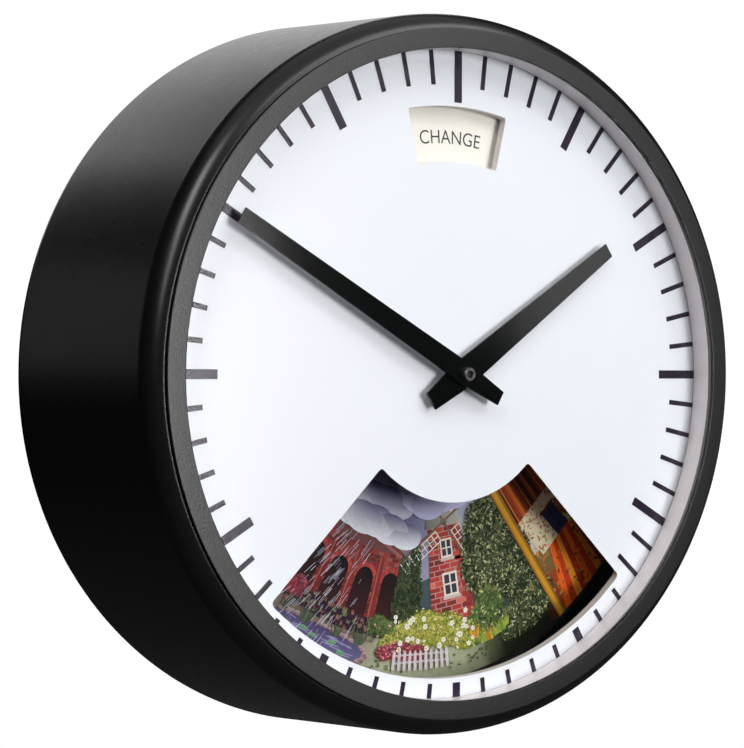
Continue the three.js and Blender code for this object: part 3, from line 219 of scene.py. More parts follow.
def drill(r, y, sides):
    """A long drill on the clock's axis. Its middle is at y, which is in metres."""
    clear_pick()
    bpy.ops.mesh.primitive_cylinder_add(
        vertices=sides, radius=r * MM, depth=DRILL_LONG * MM, location=(0, y, 0),
        rotation=(math.pi / 2, 0, 0))
    return bpy.context.object


def bar(width, tall, front, back, x=0, z=0, corner=0):
    """A block whose four edges from front to back may be rounded."""
    clear_pick()
    bpy.ops.mesh.primitive_cube_add(size=1, location=(x * MM, (front + back) / 2 * MM, z * MM))
    block = bpy.context.object
    block.scale = (width * MM, (back - front) * MM, tall * MM)
    place_here(block)
    if corner:
        bevel_edges(block, corner, 8, lambda a, b: abs(a.y - b.y) > 0.5 * (back - front) * MM)
    return block


def cut_away(piece, tool):
    """Takes a tool's shape out of a piece, and throws the tool away."""
    apply_modifier(piece, "BOOLEAN", operation="DIFFERENCE", solver="EXACT", object=tool)
    bpy.data.objects.remove(tool)


def hollow(outer, inner):
    """Takes one tool out of another, which leaves a ring or a frame."""
    cut_away(outer, inner)
    return outer


def joined(pieces, name):
    """Makes one piece of several."""
    clear_pick()
    for piece in pieces:
        piece.select_set(True)
    bpy.context.view_layer.objects.active = pieces[0]
    bpy.ops.object.join()
    pieces[0].name = name
    return pieces[0]


# %% Helpers that hand a piece over
def finish_piece(obj, body, material, stands_for=()):
    """Gives a piece its finish, its body and the CAD nodes that it stands for."""
    obj.data.materials.clear()
    obj.data.materials.append(material)
    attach(obj, body)
    if stands_for:
        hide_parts(*stands_for)
    print(obj.name, "rides on", body, "with", len(obj.data.polygons), "faces")


def second_finish(piece, material, wanted):
    """Gives another finish to the faces that pass a test."""
    piece.data.materials.append(material)
    for face in piece.data.polygons:
        if wanted(face):
            face.material_index = 1


def refinish(node, material):
    """Gives a CAD node that keeps its shape a better finish."""
    NODES[node].data.materials.clear()
    NODES[node].data.materials.append(material)


# %% [markdown]
# ## Camera
# The place, the tilt and the lens come from the sixty marks, the two windows and the drum's
# outline. The lens is for a 36 mm sensor along the picture's long side.

# %% Camera
PLACE, SENSOR, LENS, CLIP = (-0.4580, -0.7266, 0.0024), 36, 82.98, (0.05, 50)
BACK = Vector((-0.5512, -0.8344, 0.0031))
RIGHT = Vector((0.8344, -0.5512, 0.0))
ROLL = math.radians(0.171)


def make_camera():
    up = BACK.cross(RIGHT).normalized()
    side = math.cos(ROLL) * RIGHT + math.sin(ROLL) * up
    top = -math.sin(ROLL) * RIGHT + math.cos(ROLL) * up
    data = bpy.data.cameras.new("camera")
    camera = bpy.data.objects.new("camera", data)
    bpy.context.scene.collection.objects.link(camera)
    turn = Matrix((side, top, BACK.normalized())).transposed()
    camera.matrix_world = Matrix.Translation(PLACE) @ turn.to_4x4()
    data.sensor_width = SENSOR
    data.lens = LENS
    data.clip_start, data.clip_end = CLIP
    bpy.context.scene.camera = camera
    return camera


camera = make_camera()
print("camera at", tuple(round(c, 3) for c in camera.location), "lens", camera.data.lens)

# %% [markdown]
# ## Room and light
# The photograph has a plain white ground, so the floor and the room look white to the camera
# alone and stay dark for the black drum. The main box in front and the boxes round it light the
# dial from all sides, which keeps the hands' shadows faint. What shapes a glossy black drum is
# what it reflects: the ceiling, the top strip and the left boxes draw the line along the
# shoulder, and the box behind grades the top of the side. Two small strips stand where the hands
# mirror them towards the camera.

# %% Floor and room
WHITE, GROUND_GLOW = (1, 1, 1), 1.05
FLOOR_GREY, FLOOR_SIZE, FLOOR_LEVEL = (0.06, 0.06, 0.06), 12, -0.75
ROOM_TINT, ROOM_LIGHT = (0.93, 0.96, 1), 0.006


def plain_shader(tree, kind, colour, strength=None):
    shader = tree.nodes.new(kind)
    shader.inputs["Color"].default_value = (*colour, 1)
    if strength is not None:
        shader.inputs["Strength"].default_value = strength
    return shader


def split_by_view(tree, output, lit, seen):
    """Shows the camera one shader, and lights the clock with the other."""
    nodes, links = tree.nodes, tree.links
    mix = nodes.new("ShaderNodeMixShader")
    path = nodes.new("ShaderNodeLightPath")
    links.new(path.outputs["Is Camera Ray"], mix.inputs["Fac"])
    links.new(lit.outputs[0], mix.inputs[1])
    links.new(seen.outputs[0], mix.inputs[2])
    links.new(mix.outputs[0], nodes.new(output).inputs["Surface"])


def make_floor():
    clear_pick()
    bpy.ops.mesh.primitive_plane_add(size=FLOOR_SIZE, location=(0, 0, FLOOR_LEVEL))
    floor = bpy.context.object
    floor.name = "floor"
    place_here(floor)
    pale = bpy.data.materials.new("pale_floor")
    pale.use_nodes = True
    tree = pale.node_tree
    tree.nodes.clear()
    split_by_view(tree, "ShaderNodeOutputMaterial",
                  plain_shader(tree, "ShaderNodeBsdfDiffuse", FLOOR_GREY),
                  plain_shader(tree, "ShaderNodeEmission", WHITE, GROUND_GLOW))
    floor.data.materials.append(pale)


def make_room():
    world = bpy.data.worlds.new("room")
    bpy.context.scene.world = world
    world.use_nodes = True
    tree = world.node_tree
    tree.nodes.clear()
    split_by_view(tree, "ShaderNodeOutputWorld",
                  plain_shader(tree, "ShaderNodeBackground", ROOM_TINT, ROOM_LIGHT),
                  plain_shader(tree, "ShaderNodeBackground", WHITE, GROUND_GLOW))


make_floor()
make_room()
bpy.context.scene.view_settings.view_transform = "Standard"

# %% Soft boxes
CENTRE, DIAL_TOP, UPPER_LEFT = (0, -0.1, 0), (0, -0.1, 0.1), (-0.1, -0.1, 0.1)
LIGHTS = [
    # name, place, the point it faces, width and height in metres, watts
    ("main", (0.38, -1.75, 0.03), DIAL_TOP, 0.52, 0.64, 17.6),
    ("key", (0.85, -1.45, 0.95), CENTRE, 0.9, 0.7, 8.5),
    ("ceiling", (0.1, -0.3, 2.2), CENTRE, 3.0, 2.6, 11),
    ("upper_left", (-1.0, -0.85, 1.1), UPPER_LEFT, 0.42, 0.5, 5.5),
    ("far_left", (-1.25, -1.2, 0.75), UPPER_LEFT, 0.35, 0.6, 3.0),
    ("top_strip", (0.5, -1.1, 1.35), DIAL_TOP, 1.6, 0.4, 8),
    ("back", (0.35, 1.70, 0.95), (0, -0.05, 0.1), 2.0, 1.0, 7),
    ("rear", (0.9, 1.75, -0.1), (0, 0, 0), 0.9, 0.9, 9),
    ("side", (-1.3, 1.4, 0.35), (-0.1, 0, 0), 0.7, 0.7, 0.33),
    ("hour_strip", (1.49, -1.75, 0.18), (0.06, -0.1, 0.04), 0.28, 0.26, 0.37),
    ("minute_strip", (0.76, -1.75, 0.26), (-0.1, -0.1, 0.06), 0.16, 0.2, 0.22),
]


def soft_box(name, place, aim, width, height, watts):
    data = bpy.data.lights.new(name, "AREA")
    data.shape = "RECTANGLE"
    data.size = width
    data.size_y = height
    data.energy = watts
    lamp = bpy.data.objects.new(name, data)
    bpy.context.scene.collection.objects.link(lamp)
    lamp.location = place
    lamp.rotation_euler = (Vector(aim) - Vector(place)).to_track_quat("-Z", "Y").to_euler()


for light in LIGHTS:
    soft_box(*light)

# %% [markdown]
# ## Finishes
# Each finish is a set of shader nodes on Object coordinates. A pattern's size is given in
# millimetres on the real surface, and its depth goes to a bump.

# %% Nodes that the finishes share
def texture(made, kind, **sockets):
    """Adds a node that reads Object coordinates, and sets its sockets."""
    nodes, links = made.node_tree.nodes, made.node_tree.links
    pattern = nodes.new(kind)
    for key, value in sockets.items():
        pattern.inputs[key].default_value = value
    links.new(nodes["Texture Coordinate"].outputs["Object"], pattern.inputs["Vector"])
    return pattern


def spread_gloss(made, value, low, high):
    """Lets a pattern vary the roughness between two values."""
    nodes, links = made.node_tree.nodes, made.node_tree.links
    spread = nodes.new("ShaderNodeMapRange")
    spread.inputs["To Min"].default_value = low
    spread.inputs["To Max"].default_value = high
    links.new(value, spread.inputs["Value"])
    links.new(spread.outputs["Result"], nodes["Principled BSDF"].inputs["Roughness"])


def relief(made, height, depth):
    """Turns a pattern into relief, with its depth in mm."""
    nodes, links = made.node_tree.nodes, made.node_tree.links
    bump = nodes.new("ShaderNodeBump")
    bump.inputs["Strength"].default_value = 1
    bump.inputs["Distance"].default_value = depth * MM
    links.new(height, bump.inputs["Height"])
    links.new(bump.outputs["Normal"], nodes["Principled BSDF"].inputs["Normal"])
    return bump


def colour_by(made, value, stops, sharp=False):
    """Colours a piece by a value, with stops of (value, colour)."""
    nodes, links = made.node_tree.nodes, made.node_tree.links
    ramp = nodes.new("ShaderNodeValToRGB")
    if sharp:
        ramp.color_ramp.interpolation = "CONSTANT"
    elements = ramp.color_ramp.elements
    for i, (position, colour) in enumerate(stops):
        element = elements[i] if i < 2 else elements.new(position)
        element.position, element.color = position, (*colour, 1)
    links.new(value, ramp.inputs["Fac"])
    links.new(ramp.outputs["Color"], nodes["Principled BSDF"].inputs["Base Color"])
    return ramp


# %% A finish with grain and mottling
def finish(name, colour, rough, metal=0.0, grain=None, mottle=None, rough_spread=0.0, **sockets):
    """grain is (size mm, depth mm), mottle is (size mm, share). rough_spread varies the gloss."""
    made = bpy.data.materials.new(name)
    made.use_nodes = True
    nodes = made.node_tree.nodes
    shader = nodes["Principled BSDF"]
    shader.inputs["Base Color"].default_value = (*colour, 1)
    shader.inputs["Roughness"].default_value = rough
    shader.inputs["Metallic"].default_value = metal
    for key, value in sockets.items():
        shader.inputs[key.replace("_", " ")].default_value = value
    nodes.new("ShaderNodeTexCoord")
    if mottle:
        size, share = mottle
        cloud = texture(made, "ShaderNodeTexNoise", Scale=1 / (size * MM), Detail=4)
        dark = [c * (1 - share) for c in colour]
        light = [min(1, c * (1 + share)) for c in colour]
        colour_by(made, cloud.outputs["Fac"], [(0.3, dark), (0.7, light)])
        if rough_spread:
            spread_gloss(made, cloud.outputs["Fac"], rough - rough_spread, rough + rough_spread)
    if grain:
        size, depth = grain
        fine = texture(made, "ShaderNodeTexNoise", Scale=1 / (size * MM), Detail=3, Roughness=0.6)
        relief(made, fine.outputs["Fac"], depth)
    return made


def leather_grain(name, colour, rough, size, depth):
    """Textured powder coat: rounded pebbles with fine creases between them."""
    made = finish(name, colour, rough, mottle=(2.5, 0.12))
    nodes, links = made.node_tree.nodes, made.node_tree.links
    pebbles = texture(made, "ShaderNodeTexVoronoi", Scale=1 / (size * MM))
    pebbles.feature = "SMOOTH_F1"
    pebbles.inputs["Smoothness"].default_value = 0.6
    wander = texture(made, "ShaderNodeTexNoise", Scale=1 / (size * 1.6 * MM), Detail=3)
    total = nodes.new("ShaderNodeMath")
    total.operation = "ADD"
    links.new(pebbles.outputs["Distance"], total.inputs[0])
    links.new(wander.outputs["Fac"], total.inputs[1])
    relief(made, total.outputs[0], depth).invert = True
    return made


drum_black = finish("drum_black", (0.006, 0.006, 0.0062), 0.28, grain=(0.7, 0.007),
                    mottle=(6, 0.06), rough_spread=0.03)
annulus_black = leather_grain("annulus_black", (0.005, 0.005, 0.005), 0.41, 0.9, 0.045)
lip_black = finish("lip_black", (0.004, 0.004, 0.004), 0.4, grain=(0.5, 0.004), mottle=(4, 0.1))
dial_white = finish("dial_white", (0.86, 0.89, 0.95), 0.32, grain=(1.2, 0.002), mottle=(40, 0.006))
# The window walls are the same white board as the dial. Their darker, pinker white is painted shade
# and painted bounced light.
wall_shaded_white = finish("wall_shaded_white", (0.78, 0.73, 0.71), 0.34, grain=(1.0, 0.003), mottle=(15, 0.02))
reveal_white = finish("reveal_white", (0.92, 0.84, 0.84), 0.22, grain=(2.0, 0.004),
                      mottle=(15, 0.02))
mark_ink = finish("mark_ink", (0.020, 0.012, 0.030), 0.25, grain=(0.4, 0.006), mottle=(0.5, 0.35))
hand_black = finish("hand_black", (0.001, 0.001, 0.001), 0.12, grain=(0.45, 0.0006),
                    mottle=(1.0, 0.25))
word_ink = finish("word_ink", (0.008, 0.008, 0.008), 0.5, grain=(0.3, 0.002), mottle=(0.6, 0.3))
word_cream = finish("word_cream", (0.90, 0.87, 0.79), 0.55, grain=(0.8, 0.003), mottle=(12, 0.015))
nut_grey = finish("nut_grey", (0.13, 0.13, 0.135), 0.36, 0.9, grain=(0.2, 0.003), mottle=(0.8, 0.1))
print("finishes so far:", len(bpy.data.materials))

# %% [markdown]
# ## Clear glass
# Picture glass hardly shows: it adds a faint sheen and takes a few hundredths of the light.
# An almost clear surface does that and lets the soft boxes light the dial behind it.

# %% Glass finish
def clear_glass():
    made = bpy.data.materials.new("clear_glass")
    made.use_nodes = True
    shader = made.node_tree.nodes["Principled BSDF"]
    shader.inputs["Base Color"].default_value = (0.02, 0.03, 0.03, 1)
    shader.inputs["Roughness"].default_value = 0.03
    shader.inputs["Alpha"].default_value = 0.02
    return made


refinish("glass", clear_glass())

# %% [markdown]
# ## Turned pieces
# The drum, the bezel and the reveal ring are spun or turned on the real clock. Here a circle is
# added at the first station of the profile, then extruded and resized from station to station.
# A lathe tool or a spin would do too, but stations are easy to read and to change.

# %% The turning helper
def turned_piece(name, stations, sides):
    """stations is a list of (radius, y) in mm, which closes on itself."""
    clear_pick()
    r, y = stations[0]
    bpy.ops.mesh.primitive_circle_add(
        vertices=sides, radius=r * MM, rotation=(math.pi / 2, 0, 0), location=(0, y * MM, 0))
    piece = bpy.context.object
    piece.name = name
    place_here(piece)
    edit_all(piece)
    for next_r, next_y in stations[1:] + stations[:1]:
        bpy.ops.mesh.extrude_region_move(
            TRANSFORM_OT_translate={"value": (0, (next_y - y) * MM, 0)})
        bpy.ops.transform.resize(
            value=(next_r / r, 1, next_r / r), center_override=(0, next_y * MM, 0))
        r, y = next_r, next_y
    outwards(piece)
    smooth(piece, 30)
    return piece


def quarter(r, y, size, start, stop, steps):
    """Stations of a round about (r, y), angles measured from the outward radius."""
    angles = [math.radians(start + (stop - start) * i / steps) for i in range(steps + 1)]
    return [(r + size * math.cos(a), y + size * math.sin(a)) for a in angles]


# %% [markdown]
# ## Drum
# The case is one spun shell: a wide roll at the front, a slightly flared side, a rounded rear
# corner and a recess for the back cover. Its paint is satin and almost smooth. The profile runs
# from the bezel's seat over the outside to the back, and returns along the inside of the wall.

# %% Drum
FRONT_R, REAR_R, WALL, SIDES = 160.0, 170.0, 2.5, 240
SHOULDER_ROUND, REAR_ROUND = 11.0, 10.5
SHOULDER_R, SHOULDER_Y = FRONT_R - SHOULDER_ROUND, -105.1
REAR_CENTRE_R = REAR_R - REAR_ROUND
MOUTH_R, SEAT_Y = 149.6, -115.6
RECESS_R, RECESS_FLOOR, REAR_WALL = 157.0, -5.6, 6.0


def drum_inner(y):
    slope = (REAR_R - FRONT_R) / (-REAR_ROUND - SHOULDER_Y)
    return FRONT_R + slope * (y - SHOULDER_Y) - WALL


seat_start = math.degrees(math.asin((SEAT_Y - SHOULDER_Y) / SHOULDER_ROUND))
inner_rear = RECESS_FLOOR - REAR_WALL
drum_stations = [(MOUTH_R, SEAT_Y)]
drum_stations += quarter(SHOULDER_R, SHOULDER_Y, SHOULDER_ROUND, seat_start, 0, 16)
drum_stations += [(FRONT_R + 2 * i, -105 + 19 * i) for i in (1, 2, 3, 4)]
drum_stations += quarter(REAR_CENTRE_R, -REAR_ROUND, REAR_ROUND, 0, 90, 12)
drum_stations += [(RECESS_R, 0), (RECESS_R, RECESS_FLOOR), (REAR_CENTRE_R, RECESS_FLOOR)]
drum_stations += [(drum_inner(inner_rear), inner_rear), (drum_inner(SHOULDER_Y), SHOULDER_Y)]
drum_stations += quarter(SHOULDER_R, SHOULDER_Y, SHOULDER_ROUND - WALL, -25, -75, 4)
drum_stations += [(MOUTH_R, SEAT_Y + WALL)]
drum = turned_piece("drum_shell", drum_stations, SIDES)
finish_piece(drum, "case", drum_black, ["case_drum"])

# %% [markdown]
# ## Lugs that carry the chassis
# Three small blocks stand on the drum's inner wall, a third of a turn apart. One is modelled at
# twelve and turned to its place. An array about an empty would do it too, but a mesh that is
# turned in code keeps the object itself untouched.

# %% Lugs
LUG_WIDE, LUG_TALL, LUG_FRONT, LUG_BACK, LUG_R = 14, 8.6, -74.1, -66.1, 157.3


def make_lug(angle):
    lug = bar(LUG_WIDE, LUG_TALL, LUG_FRONT, LUG_BACK, 0, LUG_R)
    bevel_edges(lug, 0.6, 2, lambda a, b: True)
    return rotated(lug, angle)


lugs = joined([make_lug(angle) for angle in (60, 180, 300)], "chassis_lugs")
finish_piece(lugs, "case", drum_black)

# %% [markdown]
# ## Bezel
# A flat annulus with a leathery powder coat. Its outer edge stands as a fine bright line over a
# dark joint, and its inner edge is a smooth black lip round the opening. A spigot behind it
# centres it in the drum's mouth.

# %% Bezel
OPENING_R, BEZEL_R = 143.5, 152.0
SPIGOT_OUT, SPIGOT_IN = 149.3, 147.5
FLANGE_BACK = BEZEL_FRONT + 1.7
bezel_stations = [(OPENING_R, BEZEL_FRONT + 0.45), (OPENING_R + 0.18, BEZEL_FRONT + 0.12)]
bezel_stations += [(OPENING_R + 0.6, BEZEL_FRONT)]
bezel_stations += [(BEZEL_R - 0.75, BEZEL_FRONT), (BEZEL_R - 0.3, BEZEL_FRONT + 0.1)]
bezel_stations += [(BEZEL_R - 0.05, BEZEL_FRONT + 0.35), (BEZEL_R, BEZEL_FRONT + 0.7)]
bezel_stations += [(BEZEL_R, FLANGE_BACK), (SPIGOT_OUT, FLANGE_BACK), (SPIGOT_OUT, BEZEL_BACK)]
bezel_stations += [(SPIGOT_IN, BEZEL_BACK), (SPIGOT_IN, FLANGE_BACK), (OPENING_R, FLANGE_BACK)]
bezel = turned_piece("bezel_ring", bezel_stations, SIDES)
finish_piece(bezel, "case", annulus_black, ["bezel"])
second_finish(bezel, lip_black,
              lambda face: math.hypot(face.center.x, face.center.z) / MM < OPENING_R + 0.45)

# %% [markdown]
# ## Reveal ring
# A plain white tube keeps the glass off the dial. It is satin, so it picks up the dial's light.

# %% Reveal ring
REVEAL_IN, REVEAL_OUT = 144.7, 146.9
reveal = turned_piece("reveal_wall", [(REVEAL_IN, REVEAL_FRONT), (REVEAL_OUT, REVEAL_FRONT),
                                      (REVEAL_OUT, REVEAL_BACK), (REVEAL_IN, REVEAL_BACK)], SIDES)
finish_piece(reveal, "case", reveal_white, ["reveal_ring"])

# %% [markdown]
# ## Dial
# A thick white plate with two windows. Each window is cut with a block that is shaped like a
# slice of a ring: a grid whose corners are moved on to the ring, extruded, with its four upright
# edges rounded. The fan window's sides and inner arc lean outwards to the back, so no wall shows
# beside the picture. The dial's own edges are broken by a small bevel, which catches the light.

# %% Cutting block in the shape of a ring slice
SLICE_STEPS = 64


def ring_slice(inner, outer, middle, half, front, back, corner, widen=(0, 0)):
    """widen is how far the sides and the inner arc move out at the front and at the back."""
    clear_pick()
    bpy.ops.mesh.primitive_grid_add(x_subdivisions=SLICE_STEPS, y_subdivisions=1, size=2)
    block = bpy.context.object
    for v in block.data.vertices:
        r = inner + (outer - inner) * (v.co.y + 1) / 2
        v.co = clock_point(r, middle + v.co.x * half, front)
    thicken(block, (back - front) * MM)
    corners = [clock_point(r, middle + s * half, 0) for r in (inner, outer) for s in (-1, 1)]

    def at_corner(a, b):
        stands = math.hypot(a.x - b.x, a.z - b.z) < 1e-6
        return stands and any(math.hypot(a.x - c.x, a.z - c.z) < 1e-5 for c in corners)

    bevel_edges(block, corner, 8, at_corner)
    for v in block.data.vertices:
        r, angle = math.hypot(v.co.x, v.co.z) / MM, math.degrees(math.atan2(v.co.x, v.co.z))
        off = (angle - middle + 180) % 360 - 180
        more = widen[0] if v.co.y / MM < (front + back) / 2 else widen[1]
        off += off / half * math.degrees(more / r)
        r -= more * (outer - r) / (outer - inner)
        v.co = clock_point(r, middle + off, v.co.y / MM)
    return block


# %% Dial plate and its two windows
DIAL_R, ARBOR_HOLE, PAST = 152.5, 5.2, 2
WORD_WINDOW = (94.9, 120, 0, 13.1)
FAN_WINDOW = (57.5, 136, 180, 45)


def make_dial():
    plate = rod(DIAL_R, DIAL_FRONT, DIAL_BACK, sides=SIDES)
    plate.name = "dial_plate"
    front, back = DIAL_FRONT - PAST, DIAL_BACK + PAST
    cut_away(plate, ring_slice(*WORD_WINDOW, front, back, 1.8))
    cut_away(plate, ring_slice(*FAN_WINDOW, front, back, 2.2, (-1, 3)))
    cut_away(plate, drill(ARBOR_HOLE, DIAL_FRONT * MM, 48))
    break_edges(plate, 0.25, 3, 60)
    smooth(plate, 40)
    return plate


dial = make_dial()
finish_piece(dial, "case", dial_white, ["dial"])
# Faces that face sideways, the window walls and the inner steps of the bevel, get the darker pinker
# white: painted shade and painted bounced light.
second_finish(dial, wall_shaded_white, lambda face: abs(face.normal.y) < 0.6)

# %% Printed marks and the ledge keep their solids
refinish("minute_marks", mark_ink)
refinish("cover_ledge", drum_black)

# %% [markdown]
# ## Hands
# Each hand is cut from 1 mm sheet: widest at the arbor, with a straight taper both ways. A grid
# with three rows gives the outline, an extrusion the thickness, and a fine bevel the edge that
# shows as a thin light line.

# %% Hands
def make_hand(name, node, reach, tail, widths, angle, hole, body):
    """widths are at the arbor, at the tip and at the tail. angle is the time it shows."""
    low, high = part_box(node)
    clear_pick()
    bpy.ops.mesh.primitive_grid_add(x_subdivisions=1, y_subdivisions=2, size=2)
    hand = bpy.context.object
    hand.name = name
    rows = {-1: (-tail, widths[2]), 0: (0, widths[0]), 1: (reach, widths[1])}
    for v in hand.data.vertices:
        along, width = rows[round(v.co.y)]
        v.co = Vector((v.co.x * width / 2 * MM, low.y, along * MM))
    thicken(hand, high.y - low.y)
    cut_away(hand, drill(hole, low.y, 40))
    break_edges(hand, 0.14)
    rotated(hand, angle)
    smooth(hand, 30)
    finish_piece(hand, body, hand_black, [node])


make_hand("hour_pointer", "hour_hand", 103.7, 21.4, (13.2, 7.0, 8.7), 55.45, 3.5, "hour")
make_hand("minute_pointer", "minute_hand", 131.5, 22.2, (10.2, 7.2, 6.8), -60.26, 1.4, "minute")

# %% [markdown]
# ## Hand nut
# A small turned nut holds the minute hand. Its front edge is chamfered, so it shows as a bright
# ring about a dark hole.

# %% Hand nut
NUT_R, NUT_BORE, nut_front = 3.0, 1.6, plane("hand_nut")
nut_stations = [(NUT_BORE, nut_front + 0.3), (1.9, nut_front), (2.6, nut_front)]
nut_stations += [(NUT_R, nut_front + 0.4)]
nut_stations += [(NUT_R, plane("hand_nut", True)), (NUT_BORE, plane("hand_nut", True))]
finish_piece(turned_piece("arbor_nut", nut_stations, 48), "minute", nut_grey,
             ["hand_nut"])

# %% [markdown]
# ## Words
# The words are thin plain capitals on the cream plate, bent round the arbor at one pitch for
# each state of the weather. Text is made a mesh, sized by its capitals, then bent in code.

# %% Lettering
WORD_R, CAP, PITCH, INK_LIFT = 106.9, 6.1, 28.0, 0.03
WORDS = [("VERY DRY", 39), ("FAIR", 21), ("CHANGE", 33.5), ("RAIN", 22), ("STORMY", 33)]


def make_word(text, angle, width):
    clear_pick()
    bpy.ops.object.text_add(location=(0, 0, 0))
    word = bpy.context.object
    word.name = "word_" + text.lower().replace(" ", "_")
    word.data.body = text
    word.data.size = 1
    word.data.offset = -0.004
    word.data.extrude = 0.002
    word.data.resolution_u = 6
    bpy.ops.object.convert(target="MESH")
    word = bpy.context.object
    xs = [v.co.x for v in word.data.vertices]
    ys = [v.co.y for v in word.data.vertices]
    for v in word.data.vertices:
        along = ((v.co.x - min(xs)) / (max(xs) - min(xs)) - 0.5) * width
        up = ((v.co.y - min(ys)) / (max(ys) - min(ys)) - 0.5) * CAP
        depth = WORD_FRONT - INK_LIFT - v.co.z * 10
        v.co = clock_point(WORD_R + up, angle + math.degrees(along / WORD_R), depth)
    outwards(word)
    finish_piece(word, "weather", word_ink)


for step, (text, width) in enumerate(WORDS):
    make_word(text, (step - 2) * PITCH, width)
refinish("word_plate", word_cream)

# %% [markdown]
# ## Finishes for what hides inside and behind
# The CAD solids of the works, the cells and the back are right as they are, so they keep their
# shape and get real finishes: brushed zinc, turned brass, moulded plastic, wound wire, and foil
# on the cells. Brushing is noise that is stretched along one axis.

# %% Drawn out, banded and wound finishes
def stretched(name, colour, rough, metal, size, depth, share=0.12):
    """A finish whose grain is drawn out: size is the grain's (x, y, z) in mm."""
    made = finish(name, colour, rough, metal, mottle=(5, 0.05))
    place = texture(made, "ShaderNodeMapping", Scale=[1 / (s * MM) for s in size])
    lines = texture(made, "ShaderNodeTexNoise", Scale=1, Detail=3)
    made.node_tree.links.new(place.outputs["Vector"], lines.inputs["Vector"])
    spread_gloss(made, lines.outputs["Fac"], max(0.05, rough - share), rough + share)
    relief(made, lines.outputs["Fac"], depth)
    return made


def banded(name, node, axis, stops, rough, metal):
    """Bands of metal along a node's own length. stops are (share of the length, colour)."""
    made = finish(name, stops[0][1], rough, metal, grain=(0.4, 0.002), mottle=(3, 0.05))
    low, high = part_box(node)
    split = texture(made, "ShaderNodeSeparateXYZ")
    share = made.node_tree.nodes.new("ShaderNodeMapRange")
    share.inputs["From Min"].default_value = low[axis]
    share.inputs["From Max"].default_value = high[axis]
    made.node_tree.links.new(split.outputs[axis], share.inputs["Value"])
    colour_by(made, share.outputs["Result"], stops, sharp=True)
    return made


def windings(name, colour, pitch):
    """Enamelled wire: round ridges at one pitch across the coil."""
    made = finish(name, colour, 0.3, 0.9, mottle=(1.5, 0.12))
    wave = texture(made, "ShaderNodeTexWave", Scale=0.314 / (pitch * MM), Distortion=0.4)
    wave.bands_direction = "X"
    relief(made, wave.outputs["Fac"], pitch * 0.4)
    return made


def board_mask():
    """Green solder mask over copper tracks, which show as paler cells in a square pattern."""
    made = finish("board_mask", (0.01, 0.13, 0.045), 0.28, mottle=(4, 0.06))
    tracks = texture(made, "ShaderNodeTexVoronoi", Scale=1 / (3.5 * MM))
    tracks.distance = "CHEBYCHEV"
    colour_by(made, tracks.outputs["Distance"],
              [(0, (0.012, 0.20, 0.07)), (0.36, (0.008, 0.09, 0.035))], sharp=True)
    return made


# %% Metals and plastics of the works
BRASS = (0.72, 0.50, 0.20)
brushed_zinc = stretched("brushed_zinc", (0.50, 0.51, 0.53), 0.36, 0.95, (14, 14, 0.18), 0.004)
motor_zinc = stretched("motor_zinc", (0.56, 0.56, 0.57), 0.30, 0.95, (0.2, 12, 0.2), 0.003)
turned_brass = stretched("turned_brass", BRASS, 0.28, 0.95, (9, 0.15, 9), 0.003)
dark_zinc = finish("dark_zinc", (0.22, 0.22, 0.23), 0.36, 0.9, grain=(0.3, 0.004),
                   mottle=(0.9, 0.2))
moulded_black = finish("moulded_black", (0.028, 0.028, 0.030), 0.42, grain=(0.35, 0.012),
                       mottle=(8, 0.08), rough_spread=0.04)
cover_grain = leather_grain("cover_grain", (0.050, 0.050, 0.052), 0.50, 0.7, 0.05)
door_grain = leather_grain("door_grain", (0.062, 0.062, 0.064), 0.46, 0.45, 0.03)
disc_stock = finish("disc_stock", (0.02, 0.02, 0.022), 0.6, grain=(0.3, 0.006), mottle=(6, 0.1))
nylon_white = finish("nylon_white", (0.76, 0.75, 0.68), 0.38, grain=(0.5, 0.004), mottle=(5, 0.03))
gasket_rubber = finish("gasket_rubber_black", (0.012, 0.012, 0.012), 0.75, grain=(0.3, 0.01),
                       mottle=(1, 0.1))
button_plastic = finish("button_plastic", (0.16, 0.165, 0.17), 0.42, grain=(0.3, 0.008),
                        mottle=(3, 0.05))
chip_black = finish("chip_black", (0.02, 0.02, 0.022), 0.5, grain=(0.15, 0.006), mottle=(0.6, 0.15))
grey_lead = finish("grey_lead", (0.17, 0.17, 0.18), 0.45, grain=(0.4, 0.006), mottle=(3, 0.05))
red_lead = finish("red_lead", (0.42, 0.02, 0.015), 0.42, grain=(0.4, 0.006), mottle=(3, 0.06))
wheel_and_arbor = banded("wheel_and_arbor", "centre_wheel", 1,
                         [(0.0, (0.035, 0.035, 0.038)), (0.72, BRASS)], 0.3, 0.9)
enamelled_wire = windings("enamelled_wire", (0.62, 0.24, 0.09), 0.35)

plain_finishes = {
    brushed_zinc: numbered("dial_post", 3) + ["chassis_plate", "hanger_plate", "hub_ring"],
    motor_zinc: ["drive_motor", "motor_shaft", "pressure_sensor", "hinge_pin"]
                + numbered("motor_screw", 2) + numbered("chassis_screw", 3),
    turned_brass: ["bearing_tube"],
    wheel_and_arbor: ["centre_wheel"],
    moulded_black: ["disc_hub", "word_ring", "movement_front", "movement_back", "set_knob",
                    "battery_box"],
    disc_stock: ["weather_disc"],
    nylon_white: ["disc_gear", "drive_pinion", "hour_wheel", "intermediate_wheel"],
    gasket_rubber: ["glass_gasket"],
    button_plastic: ["set_button", "door_latch"],
    chip_black: ["processor", "tact_switch"],
    grey_lead: ["motor_cable"],
    red_lead: ["battery_cable"],
    enamelled_wire: ["coil"],
    board_mask(): ["circuit_board"],
}
for material, names in plain_finishes.items():
    for name in names:
        refinish(name, material)
print("nodes with new finishes:", sum(len(n) for n in plain_finishes.values()))

